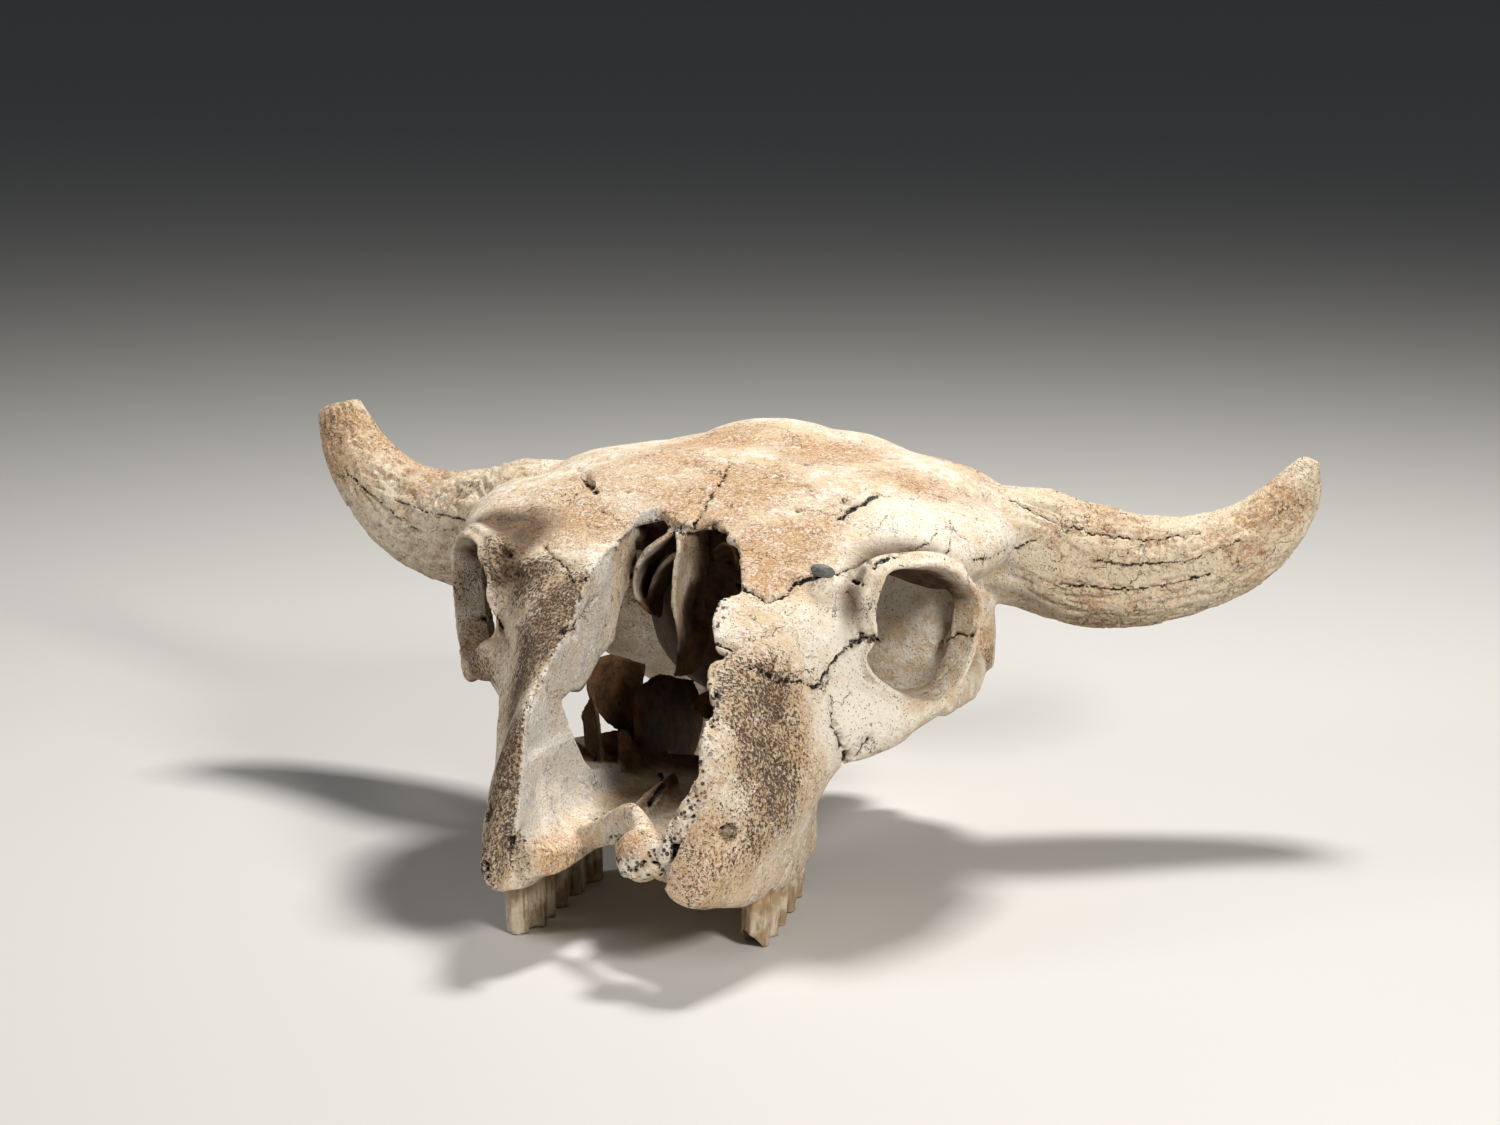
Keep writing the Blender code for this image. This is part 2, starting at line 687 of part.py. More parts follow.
def add_modifier(shape, kind, **values):
    """A modifier with these values."""
    modifier = shape.modifiers.new(kind.title(), kind)
    for key, value in values.items():
        setattr(modifier, key, value)
    return modifier


def baked(shape):
    """Replace an object's mesh with what its modifiers make of it."""
    graph = bpy.context.evaluated_depsgraph_get()
    mesh = bpy.data.meshes.new_from_object(shape.evaluated_get(graph))
    shape.modifiers.clear()
    shape.data = mesh
    return shape


def as_cutter(shape, voxel=VOXEL):
    """Fuse a helper's shells into one, and keep it out of the model."""
    add_modifier(shape, "REMESH", mode="VOXEL", voxel_size=voxel * MM)
    baked(shape)
    shape.hide_render = True
    shape.display_type = "WIRE"
    return shape


def tooth_rings(side, y, x, length, width, room, rise):
    """Sections of a cheek tooth, a fluted column that narrows to its root."""
    rings = []
    for z, share in ((0.0, 0.95), (8.0, 1.0), (32.0, 1.0), (TOOTH_TOP + room, 0.75)):
        ring = []
        for k in range(TOOTH_SIDES):
            turn = 2 * math.pi * k / TOOTH_SIDES
            flute = 1.0 + 0.08 * math.cos(4 * turn) * (1.0 if z < 40 else 0.4)
            across = (0.5 * width * share * flute + room) * math.cos(turn)
            along = (0.5 * length * share * flute + room) * math.sin(turn)
            chip = rise * max(0.0, -math.sin(turn + 0.6)) if z < 8 else 0.0
            ring.append((side * (x + 0.05 * z + across), y + along, z + chip))
        rings.append(ring)
    return rings


def build_teeth(model, staging, enamel):
    """The cheek teeth of both sides, and for each a cutter for its socket."""
    for side, side_name in ((1, "left"), (-1, "right")):
        for index, (name, y, x, length, width) in enumerate(TEETH[side]):
            rise = CHIPPED_RISE if index == 0 and side == 1 else 0.0
            mesh = mesh_of_rings(name, tooth_rings(side, y, x, length, width, 0.0, rise))
            mesh.materials.append(enamel)
            place(f"{side_name}_{name}", mesh, model)
            socket = tooth_rings(side, y, x, length, width, SOCKET_GAP, 0.0)[1:]
            place("socket", mesh_of_rings("socket", socket), staging)


def build_chip(model, staging, stone):
    """The small grey chip wedged in the suture over the left eye, and its seat."""
    chip = ball("lodged_chip", CHIP_PLACE, CHIP_RADII, model, CHIP_TURN)
    chip.data.materials.append(stone)
    room = tuple(r + SOCKET_GAP for r in CHIP_RADII)
    ball("chip_seat", CHIP_PLACE, room, staging, CHIP_TURN)


def keep_largest(shape):
    """Drop every shell of a mesh but the largest, so that loose crumbs and bubbles go."""
    grid = bmesh.new()
    grid.from_mesh(shape.data)
    seen, shells = set(), []
    for start in grid.verts:
        if start in seen:
            continue
        seen.add(start)
        shell, queue = [], [start]
        while queue:
            corner = queue.pop()
            shell.append(corner)
            for edge in corner.link_edges:
                other = edge.other_vert(corner)
                if other not in seen:
                    seen.add(other)
                    queue.append(other)
        shells.append(shell)
    shells.sort(key=len)
    crumbs = [corner for shell in shells[:-1] for corner in shell]
    bmesh.ops.delete(grid, geom=crumbs, context="VERTS")
    grid.to_mesh(shape.data)
    grid.free()


def mend_pinches(shape):
    """Open the skin where it touches itself along an edge, and close each hole again."""
    grid = bmesh.new()
    grid.from_mesh(shape.data)
    for _ in range(4):
        pinched = [corner for corner in grid.verts if not corner.is_manifold]
        if not pinched:
            break
        around = {face for corner in pinched for face in corner.link_faces}
        bmesh.ops.delete(grid, geom=list(around), context="FACES")
        bmesh.ops.delete(grid, geom=[v for v in grid.verts if not v.link_faces], context="VERTS")
        rims = [edge for edge in grid.edges if edge.is_boundary]
        patches = bmesh.ops.holes_fill(grid, edges=rims, sides=0)["faces"]
        bmesh.ops.triangulate(grid, faces=patches)
    grid.to_mesh(shape.data)
    grid.free()


def build_outside(staging):
    """Every form that shows from outside, still solid and unjoined."""
    build_face(staging)
    build_roof(staging)
    build_braincase(staging)
    for side in (1, -1):
        horn_core(side, staging)
        build_cheek_arch(side, staging)
        build_orbit_body(side, staging)


def build_hollows(staging):
    """Every opening and cavity."""
    nasal_cavity(staging)
    sinus_cavities(staging)
    brain_cavity(staging)
    for side in (1, -1):
        orbit_cavity(side, staging)
        sight_holes(side, staging)
        brow_groove(side, staging)


def build_thin_bone(staging):
    """What is too thin to be smoothed with the rest: plates, crests and the broken front."""
    build_nose_plates(staging)
    build_broken_front(staging)
    for side in (1, -1):
        build_inner_plates(side, staging)
        build_orbit_crest(side, staging)


def build_cranium(model, helpers, staging):
    """All of the bone, fused, hollowed, given its inner plates and thinned to few faces."""
    build_outside(staging)
    cranium = gather("cranium", model, staging)
    add_modifier(cranium, "REMESH", mode="VOXEL", voxel_size=VOXEL * MM)
    add_modifier(cranium, "SMOOTH", factor=0.5, iterations=SOFTENING_STEPS)
    baked(cranium)

    build_hollows(staging)
    hollows = as_cutter(gather("hollows", helpers, staging), FINE_VOXEL)
    add_modifier(cranium, "BOOLEAN", operation="DIFFERENCE", object=hollows)
    baked(cranium)

    build_thin_bone(staging)
    staging.objects.link(cranium)
    model.objects.unlink(cranium)
    cranium = gather("cranium", model, staging)
    add_modifier(cranium, "REMESH", mode="VOXEL", voxel_size=FINE_VOXEL * MM)
    add_modifier(cranium, "SMOOTH", factor=0.4, iterations=2)
    baked(cranium)
    keep_largest(cranium)
    share = 2 * len(cranium.data.polygons)
    add_modifier(cranium, "DECIMATE", ratio=CRANIUM_TRIANGLES / share)
    baked(cranium)
    mend_pinches(cranium)
    return cranium


def seat_cranium(cranium, helpers, staging):
    """Cut the sockets, and level the processes that the skull stands on."""
    seats = gather("seats", helpers, staging)
    seats.hide_render = True
    seats.display_type = "WIRE"
    bpy.ops.mesh.primitive_cube_add(size=1.0)
    ground = bpy.context.object
    ground.name = "ground"
    for other in list(ground.users_collection):
        other.objects.unlink(ground)
    helpers.objects.link(ground)
    ground.data.transform(Matrix.Translation((0, 0.2, -0.025)) @ Matrix.Diagonal((0.5, 0.3, 0.05, 1.0)))
    ground.hide_render = True
    ground.display_type = "WIRE"
    add_modifier(cranium, "BOOLEAN", operation="DIFFERENCE", object=ground)
    baked(cranium)
    add_modifier(cranium, "BOOLEAN", operation="DIFFERENCE", object=seats, use_self=True)
    baked(cranium)
    mend_pinches(cranium)
    keep_largest(cranium)


def centre_on_origin(model):
    """Move the skull sideways so that the origin is under the middle of its box."""
    for piece in model.objects:
        piece.data.transform(Matrix.Translation(Vector((-BOX_MIDDLE[0], -BOX_MIDDLE[1], 0.0)) * MM))


def main():
    clear_scene()
    scene = bpy.context.scene
    model = bpy.data.collections.new("buffalo_skull")
    helpers = bpy.data.collections.new("helpers")
    staging = bpy.data.collections.new("staging")
    for collection in (model, helpers, staging):
        scene.collection.children.link(collection)
    bone = bone_material("weathered_bone", (0.72, 0.62, 0.48), 0.8)
    enamel = bone_material("tooth_enamel", (0.66, 0.58, 0.47), 0.45)
    stone = bone_material("grey_stone", (0.16, 0.16, 0.16), 0.6)
    cranium = build_cranium(model, helpers, staging)
    build_teeth(model, staging, enamel)
    build_chip(model, staging, stone)
    seat_cranium(cranium, helpers, staging)
    cranium.data.materials.clear()
    cranium.data.materials.append(bone)
    centre_on_origin(model)


main()
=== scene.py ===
"""Looks of the buffalo skull: dense bone with breaks, cracks, grooves, stains and painted shade, over the
frame.
"""

import json
import math

import bmesh
import bpy
import numpy as np
from mathutils import Matrix, Vector
from mathutils.bvhtree import BVHTree
from mathutils.kdtree import KDTree

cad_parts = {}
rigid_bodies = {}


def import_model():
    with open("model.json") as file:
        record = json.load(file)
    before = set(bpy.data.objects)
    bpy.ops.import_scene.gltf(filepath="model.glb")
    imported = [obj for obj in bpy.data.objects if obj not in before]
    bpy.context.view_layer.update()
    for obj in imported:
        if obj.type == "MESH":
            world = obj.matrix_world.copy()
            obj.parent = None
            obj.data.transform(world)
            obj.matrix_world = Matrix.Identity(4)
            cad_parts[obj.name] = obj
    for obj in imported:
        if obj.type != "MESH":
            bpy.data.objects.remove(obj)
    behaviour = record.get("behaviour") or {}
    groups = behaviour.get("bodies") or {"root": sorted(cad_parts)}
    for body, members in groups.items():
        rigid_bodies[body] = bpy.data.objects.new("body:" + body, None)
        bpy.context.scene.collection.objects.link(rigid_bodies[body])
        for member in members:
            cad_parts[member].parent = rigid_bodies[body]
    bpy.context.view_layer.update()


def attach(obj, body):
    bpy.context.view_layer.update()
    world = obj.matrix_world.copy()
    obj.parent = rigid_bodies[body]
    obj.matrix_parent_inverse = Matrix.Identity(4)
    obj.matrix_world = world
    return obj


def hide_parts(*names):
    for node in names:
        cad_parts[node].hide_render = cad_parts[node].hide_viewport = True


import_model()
MM = 0.001
ACROSS = Vector((1, 0, 0))
BACK = Vector((0, 1, 0))
UP = Vector((0, 0, 1))

# Driving dimensions
HORN_SPREAD = 652.0
ORBIT_WIDTH = 330.0
POLL_HEIGHT = 253.0
POLL_Y = 205.0
BOX_MIDDLE = (-3.3, 59.15)

# Horn core: a Bezier curve's four points on the +X side, and its radii from root to tip
HORN_ROOT = (112.0, 190.0, 186.0)
HORN_PATH = (
    (165.0, 204.0, 180.0),
    (208.0, 214.0, 158.0),
    (303.0, 260.0, 154.0),
    (HORN_SPREAD / 2, 270.0, 229.0),
)
HORN_RADII = {1: (39.0, 39.0, 32.0, 25.0, 16.5, 6.5), -1: (41.0, 41.0, 34.0, 26.0, 19.5, 14.5)}

# How far the third and the last of the curve's points are raised on each side
HORN_RISE = {1: (-4.0, 4.0), -1: (3.0, 9.0)}

# Orbit: points along the crest of its rim on the +X side, each with the thickness of bone outside it.
# The -X orbit sits a little higher, except for its top, which the brow limits.
ORBIT_EDGE = (
    (118, -9, 181, 5),
    (119, -8, 166, 5),
    (113, -8, 154, 5),
    (117, -5, 143, 6),
    (125, 3, 134, 9),
    (136, 18, 125, 11),
    (146, 29, 123, 10),
    (155, 40, 128, 8),
    (161, 50, 143, 5),
    (164, 55, 160, 5),
    (ORBIT_WIDTH / 2, 55, 176, 5),
    (160, 47, 189, 5),
    (150, 31, 201, 5),
    (139, 13, 205, 5),
    (126, -5, 205, 5),
    (122, -12, 195, 5),
)
ORBIT_AXIS = Vector((0.83, -0.55, 0.05)).normalized()
ORBIT_RISE = {1: 0.0, -1: 8.0}
ORBIT_TOP = 211.0
ORBIT_HEIGHT = 36.0

# How the space of the eye narrows inward: distance along its axis, share of the rim's size, and how
# closely it follows the unevenness of the rim
ORBIT_DEPTHS = ((34, 1.1, 1), (0, 0.98, 1), (-6, 0.96, 1), (-20, 0.91, 1), (-44, 0.76, 0.4), (-66, 0.5, 0))

# Flange below each orbit: rows of x, y, z, half thickness and half height
CHEEK_FLANGE = {
    1: (
        (94, -18, 116, 13, 26),
        (112, -5, 114, 9, 22),
        (122, 6, 113, 8, 17),
        (131, 14, 117, 8, 13),
        (147, 38, 123, 7, 10),
    ),
    -1: (
        (94, -18, 128, 13, 20),
        (114, -4, 136, 10, 16),
        (132, 14, 130, 8, 11),
        (147, 38, 131, 7, 10),
    ),
}

# Face: y, palate z, alveolar edge x and z, middle x and z, widest x and z, shoulder x and z, top z
FACE = (
    (-166, 58, 60, 48, 64, 55, 65, 59, 56, 64, 66),
    (-154, 57, 62, 43, 67, 52, 69, 62, 56, 82, 86),
    (-141, 54, 64, 40, 70, 50, 73, 66, 56, 106, 110),
    (-126, 47, 67, 36, 74, 48, 78, 70, 56, 134, 140),
    (-105, 47, 70, 31, 78, 50, 84, 76, 58, 144, 150),
    (-75, 47, 74, 28, 83, 54, 91, 84, 64, 158, 168),
    (-45, 47, 77, 27, 85, 58, 99, 98, 78, 170, 188),
    (-20, 48, 78, 27, 84, 62, 106, 108, 92, 182, 200),
    (5, 50, 77, 28, 80, 64, 112, 116, 104, 190, 207),
    (28, 52, 73, 30, 76, 68, 106, 122, 104, 190, 205),
    (46, 58, 62, 44, 68, 76, 88, 122, 90, 184, 200),
)

# Nose: y, half width, floor z, and then the height that its bony roof starts at, as y and z
NOSE = (
    (-215, 44, 60),
    (-166, 46, 59),
    (-150, 48, 58),
    (-131, 50, 58),
    (-100, 50, 60),
    (-60, 48, 64),
    (-20, 46, 68),
    (20, 44, 72),
    (60, 42, 76),
)
NOSE_ROOF = ((-112, 134), (-75, 160), (-45, 180), (-20, 192), (5, 202), (30, 212), (60, 218))

# Edge of the opening over the nose, seen from above: from the -X side round the back to the +X side
NOSE_EDGE = (
    (-44, -215), (-46, -163), (-48, -149), (-51, -131), (-54, -109), (-52, -86), (-50, -62), (-48, -29),
    (-47, -8), (-42, 12), (-38, 36), (-28, 44), (-17, 34), (-6, 27), (2, 36), (10, 35), (20, 22),
    (30, 12), (36, -4), (41, -19), (45, -32), (40, -37), (35, -42), (34, -55), (38, -64), (41, -71),
    (50, -73), (44, -78), (40, -82), (43, -92), (50, -108), (52, -116), (50, -131), (46, -150),
    (44, -215),
)

# Broken front edge of the palate, seen from above
PALATE_EDGE = (
    (-56, -215), (-56, -140), (-42, -142), (-31, -112), (-28, -70), (-20, -62), (-12, -88), (4, -112),
    (24, -124), (38, -134), (40, -150), (42, -215),
)

# Ragged edge of the -X wall of the nose, as y and z. Behind it the wall is gone and the sinus shows.
WALL_EDGE = (
    (46, 202), (50, 184), (22, 168), (16, 158), (11, 148), (-9, 142), (-25, 133), (-36, 129),
    (-52, 132), (-66, 130), (-56, 118), (-53, 108), (-37, 88), (-26, 81), (0, 78), (40, 82), (62, 100),
    (68, 150), (64, 196),
)

# Thin curved plates left in the nose, each as rows of points
NOSE_PLATES = {
    "septum": (
        ((-13, 28, 214), (-10, 38, 217), (-7, 48, 218), (-2, 56, 219)),
        ((-9, 20, 205), (-9, 38, 197), (-7, 50, 195), (-1, 56, 194)),
        ((-10, 16, 192), (-10, 36, 180), (-8, 50, 178), (-3, 58, 179)),
        ((-10, 12, 176), (-10, 32, 168), (-9, 48, 164), (-3, 56, 167)),
        ((-7, 10, 163), (-7, 28, 157), (-5, 42, 153), (1, 50, 156)),
        ((-5, 8, 147), (-4, 22, 144), (-1, 34, 143), (4, 40, 145)),
        ((-7, 4, 131), (-5, 14, 130), (-3, 24, 129), (0, 30, 132)),
    ),
    "left_scroll": (
        ((-13, 34, 214), (-18, 54, 212), (-24, 70, 204)),
        ((-28, 30, 204), (-33, 54, 195), (-37, 72, 186)),
        ((-36, 30, 195), (-40, 54, 185), (-42, 72, 175)),
        ((-39, 28, 184), (-42, 52, 174), (-44, 70, 165)),
        ((-38, 28, 173), (-39, 50, 165), (-41, 68, 159)),
        ((-30, 32, 163), (-32, 52, 156), (-34, 66, 152)),
    ),
    "shell": (
        ((-57, 6, 137), (-54, 18, 139), (-49, 28, 137), (-39, 28, 134), (-30, 20, 135)),
        ((-59, 2, 129), (-57, 18, 128), (-52, 32, 124), (-42, 32, 123), (-32, 24, 124)),
        ((-60, 2, 121), (-58, 20, 117), (-53, 36, 111), (-44, 34, 111), (-37, 28, 111)),
        ((-58, 8, 111), (-57, 24, 103), (-53, 38, 98), (-46, 36, 98), (-41, 32, 99)),
        ((-54, 16, 102), (-54, 28, 94), (-52, 38, 87), (-46, 38, 85), (-42, 34, 85)),
    ),
}
PLATE_THICKNESS = 2.6

# Roof: y, half width, top z at the middle, lowest z
ROOF = (
    (-12, 94, 204, 184),
    (8, 112, 210, 184),
    (30, 130, 219, 188),
    (58, 141, 230, 192),
    (88, 138, 238, 192),
    (122, 134, 243, 188),
    (160, 138, 243, 184),
    (POLL_Y, 147, POLL_HEIGHT - 14, 180),
    (226, 126, 236, 184),
    (242, 92, 228, 192),
)
ROOF_ROUNDNESS = 2.3

# Occiput: z, half width, front y, back y
OCCIPUT = (
    (58, 62, 205, 240),
    (82, 96, 190, 246),
    (104, 130, 176, 248),
    (128, 134, 170, 247),
    (152, 126, 168, 246),
    (180, 116, 162, 245),
    (210, 112, 165, 242),
    (234, 80, 190, 236),
)

# Cheek teeth of each side, from the front: name, y, distance of the middle from x = 0, length, width
TEETH = {
    1: (
        ("premolar_3", -77, 66, 16, 16),
        ("premolar_4", -58, 64.5, 17, 18),
        ("molar_1", -36, 62.5, 22, 20),
        ("molar_2", -9, 60, 25, 21),
        ("molar_3", 20, 57, 26, 20),
    ),
    -1: (
        ("premolar_2", -92.5, 70, 12, 13),
        ("premolar_3", -77, 67, 16, 16),
        ("premolar_4", -58, 69, 17, 18),
        ("molar_1", -36, 70, 22, 21),
        ("molar_2", -9, 70, 25, 22),
        ("molar_3", 20, 68, 26, 21),
    ),
}
TOOTH_TOP = 46.0
CHIPPED_RISE = 9.0
TOOTH_SIDES = 96
TOOTH_RINGS = 40

# Grey chip wedged in the bone over the left eye
CHIP_PLACE = (86.0, -7.0, 203.0)
CHIP_RADII = (8.0, 5.0, 4.0)
CHIP_TURN = (20, 12, 0)

# Smaller plates in the nose
SMALL_PLATES = {
    "inner_scroll": (
        ((-16, 38, 199), (-21, 56, 192), (-25, 70, 185)),
        ((-26, 38, 189), (-29, 56, 181), (-31, 70, 174)),
        ((-32, 38, 176), (-34, 56, 169), (-35, 70, 162)),
        ((-34, 40, 166), (-35, 56, 159), (-34, 68, 154)),
    ),
    "right_scroll": (
        ((6, 40, 199), (3, 58, 191), (-1, 74, 184)),
        ((13, 36, 206), (8, 56, 197), (4, 74, 188)),
        ((21, 32, 207), (15, 54, 197), (9, 74, 187)),
        ((25, 30, 198), (18, 52, 190), (12, 74, 181)),
    ),
    "low_scroll": (
        ((-54, -6, 121), (-61, 4, 112), (-67, 14, 103)),
        ((-51, -4, 109), (-59, 6, 100), (-66, 16, 91)),
        ((-50, -4, 96), (-58, 6, 87), (-64, 16, 78)),
        ((-48, -4, 82), (-55, 6, 75), (-60, 14, 69)),
    ),
    "shard": (
        ((-43, 8, 95), (-42, 12, 96), (-40, 16, 94)),
        ((-42, 4, 87), (-39, 10, 87), (-34, 16, 85)),
        ((-40, 0, 80), (-35, 8, 78), (-29, 16, 77)),
        ((-43, -4, 75), (-36, 6, 72), (-27, 16, 75)),
    ),
}

# How finely the bone is shaped here, the triangles it keeps, and how far from a crack its faces are
# cut smaller, once for each reach
VOXEL = 1.9
FINE_VOXEL = 1.5
SOFTENING_STEPS = 8
EDGE_SOFTENING_STEPS = 3
BONE_TRIANGLES = 198000
CRACK_REACHES = (3.2, 2.0)

# The photograph's camera, in the skull's own millimetres, and its picture size
CAMERA_PLACE = (610.9, -1949.8, 621.4)
CAMERA_PITCH = 11.62
CAMERA_YAW = 16.30
PICTURE = (1500, 1125)
FOCAL_PIXELS = 3600.0
SENSOR_WIDTH = 36.0

# Lights: place and aim in metres, size in metres, watts and colour
LIGHTS = {
    "key": ((0.15, 0.75, 1.75), (0.0, 0.0, 0.12), 0.35, 37, (1.0, 0.975, 0.93)),
    "front_right": ((1.35, -1.25, 1.15), (0.0, -0.05, 0.12), 0.4, 34, (1.0, 0.965, 0.91)),
    "front_left": ((-1.6, -1.0, 1.0), (0.0, -0.05, 0.12), 0.6, 13, (0.97, 0.98, 1.0)),
}
SKY_COLOUR = (0.80, 0.86, 0.95)
SKY_STRENGTH = 0.05

# The floor's size, and how far it lies below the feet, in metres
FLOOR_SIZE = 30.0
FLOOR_GAP = 0.0004

# Cracks and sutures as pixels of the photograph, each with its half width and depth in mm and its
# waviness in pixels
CRACKS = {
    "forehead_midline": (
        0.9, 1.6, 4.5,
        ((742, 450), (729, 461), (723, 479), (711, 494), (701, 515), (695, 530)),
    ),
    "brow_left_front": (
        0.95, 1.5, 3.0,
        ((738, 585), (752, 592), (768, 600), (783, 596), (796, 583), (815, 577), (845, 570), (865, 561)),
    ),
    "brow_left_back": (1.1, 1.8, 3.5, ((865, 561), (872, 566), (888, 557), (905, 553))),
    "brow_right": (0.6, 1.5, 2.6, ((545, 546), (553, 556), (566, 566), (573, 584), (590, 577))),
    "cheek_left": (
        1.2, 2.5, 4.0,
        ((877, 641), (862, 638), (848, 648), (838, 658), (830, 672), (822, 684), (812, 686)),
    ),
    "cheek_left_low": (0.35, 1.0, 2.5, ((822, 684), (833, 700), (832, 722))),
    "jaw_left": (1.7, 3.0, 4.0, ((833, 724), (838, 732), (841, 745), (845, 757), (842, 770))),
    "jaw_left_hook": (1.3, 2.4, 2.0, ((868, 741), (862, 750), (855, 758))),
    "lobe_left": (1.5, 3.0, 1.4, ((716, 642), (726, 644), (734, 648))),
    "suture_left": (0.65, 1.2, 6.0, ((750, 668), (765, 673), (782, 680), (800, 681), (814, 686))),
    "lacrimal_left": (0.8, 2.5, 0.5, ((853, 580), (862, 585))),
    "forehead_pit_1": (1.0, 2.0, 0.2, ((797, 510), (799, 511))),
    "forehead_pit_2": (0.8, 1.6, 0.2, ((686, 453), (688, 455))),
    "forehead_pit_3": (0.8, 1.6, 0.2, ((627, 491), (629, 492))),
    "forehead_pit_4": (0.7, 1.4, 0.2, ((602, 511), (604, 512))),
    "cheek_right_pit": (1.2, 3.0, 0.3, ((505, 552), (509, 554))),
    "maxilla_right_pit": (1.6, 3.0, 1.5, ((563, 633), (569, 631), (574, 630))),
    "brow_fissure_1": (0.4, 1.0, 2.5, ((905, 553), (918, 548), (930, 541), (937, 532))),
    "brow_fissure_2": (0.35, 0.9, 2.5, ((868, 535), (878, 528), (886, 516))),
    "brow_fissure_3": (0.35, 0.9, 2.5, ((945, 560), (950, 545), (952, 530), (950, 520))),
    "roof_fissure_1": (0.3, 0.8, 3.0, ((842, 436), (862, 452), (884, 462), (910, 470))),
    "roof_fissure_2": (0.3, 0.8, 3.0, ((770, 470), (788, 484), (812, 490))),
    "roof_fissure_3": (0.3, 0.8, 3.0, ((520, 455), (545, 462), (566, 458))),
    "horn_left_1": (0.5, 1.2, 2.5, ((1010, 500), (1050, 520), (1100, 535), (1150, 540), (1200, 533))),
    "horn_left_2": (0.5, 1.2, 2.5, ((1060, 585), (1110, 590), (1160, 588), (1210, 574))),
    "horn_left_3": (0.4, 1.0, 2.5, ((1090, 560), (1140, 565), (1190, 560), (1240, 540))),
    "horn_right_1": (0.5, 1.2, 2.5, ((395, 500), (430, 512), (465, 520))),
    "horn_right_2": (0.5, 1.2, 2.5, ((345, 470), (375, 500), (415, 530))),
    "orbit_left_back": (0.6, 1.8, 2.0, ((943, 642), (956, 634), (972, 635))),
    "groove_left": (2.0, 2.2, 1.5, ((841, 517), (853, 508), (866, 500), (878, 494))),
    "groove_left_long": (0.35, 0.9, 2.5, ((878, 494), (905, 498), (935, 499), (966, 503))),
    "horn_left_root": (0.6, 1.2, 2.0, ((975, 560), (990, 559), (1003, 552), (1018, 547), (1035, 540))),
    "groove_right": (1.7, 2.2, 2.0, ((578, 468), (584, 477), (590, 485), (596, 492))),
    "inner_wall": (0.5, 1.4, 2.0, ((561, 640), (572, 628), (580, 618), (590, 605), (598, 596))),
    "cheek_right": (0.7, 1.8, 3.5, ((483, 618), (494, 618), (503, 628), (508, 640), (509, 650))),
    "palate": (1.6, 2.2, 1.5, ((660, 770), (664, 785), (659, 792), (650, 806))),
    "tooth_row_left": (0.6, 1.0, 1.2, ((779, 902), (792, 880), (802, 850), (806, 835))),
    "tooth_row_left_2": (0.5, 0.9, 1.2, ((770, 900), (781, 880), (790, 862))),
}


def place(name, mesh, collection):
    """Put a mesh in the scene as an object of that collection."""
    shape = bpy.data.objects.new(name, mesh)
    collection.objects.link(shape)
    return shape


def mesh_of_rings(name, rings, closed=False):
    """Skin a row of point rings. Ends are capped unless the row closes on itself."""
    shape = bmesh.new()
    rows = [[shape.verts.new(Vector(p) * MM) for p in ring] for ring in rings]
    pairs = list(zip(rows, rows[1:]))
    if closed:
        pairs.append((rows[-1], rows[0]))
    for low, high in pairs:
        for i, corner in enumerate(low):
            j = (i + 1) % len(low)
            shape.faces.new((corner, low[j], high[j], high[i]))
    if not closed:
        shape.faces.new(rows[0][::-1])
        shape.faces.new(rows[-1])
    bmesh.ops.triangulate(shape, faces=[f for f in shape.faces if len(f.verts) > 4])
    bmesh.ops.recalc_face_normals(shape, faces=shape.faces[:])
    mesh = bpy.data.meshes.new(name)
    shape.to_mesh(mesh)
    shape.free()
    return mesh


def smooth_rows(rows, steps=5, closed=False):
    """Rows of numbers, read from a Catmull-Rom curve through the ones given."""
    points = np.array(rows, float)
    count = len(points)
    spans = count if closed else count - 1
    found = []
    for i in range(spans):
        if closed:
            a, b, c, d = (points[(i + k) % count] for k in (-1, 0, 1, 2))
        else:
            a, b, c, d = (points[min(max(i + k, 0), count - 1)] for k in (-1, 0, 1, 2))
        for step in range(steps):
            t = step / steps
            square = 2 * a - 5 * b + 4 * c - d
            cube = 3 * b - a - 3 * c + d
            found.append(0.5 * (2 * b + (c - a) * t + square * t**2 + cube * t**3))
    if not closed:
        found.append(points[-1])
    return np.array(found)


def strap(name, rows, long_axes, closed=False, steps=5, sides=14):
    """Sweep an oval along a curve. A row is x, y, z, half thickness, half width.

    The oval's long way follows long_axes, one direction for each row or one for all of them.
    """
    axes = [long_axes] * len(rows) if isinstance(long_axes, Vector) else long_axes
    joined = [(*row, *axis) for row, axis in zip(rows, axes)]
    samples = smooth_rows(joined, steps, closed)
    count = len(samples)
    rings = []
    for i, sample in enumerate(samples):
        before = samples[(i - 1) % count] if closed else samples[max(i - 1, 0)]
        after = samples[(i + 1) % count] if closed else samples[min(i + 1, count - 1)]
        tangent = Vector(after[:3] - before[:3]).normalized()
        wide = Vector(sample[5:8])
        wide = (wide - wide.dot(tangent) * tangent).normalized()
        thin = tangent.cross(wide)
        centre = Vector(sample[:3])
        turns = (2 * math.pi * k / sides for k in range(sides))
        rings.append(
            [centre + thin * sample[3] * math.cos(a) + wide * sample[4] * math.sin(a) for a in turns]
        )
    return mesh_of_rings(name, rings, closed)


def skin(name, rings, collection, closed=False):
    """A row of point rings, skinned, as an object of that collection."""
    return place(name, mesh_of_rings(name, rings, closed), collection)


def bar(name, rows, long_axes, collection, **options):
    """A strap as an object of that collection."""
    place(name, strap(name, rows, long_axes, **options), collection)


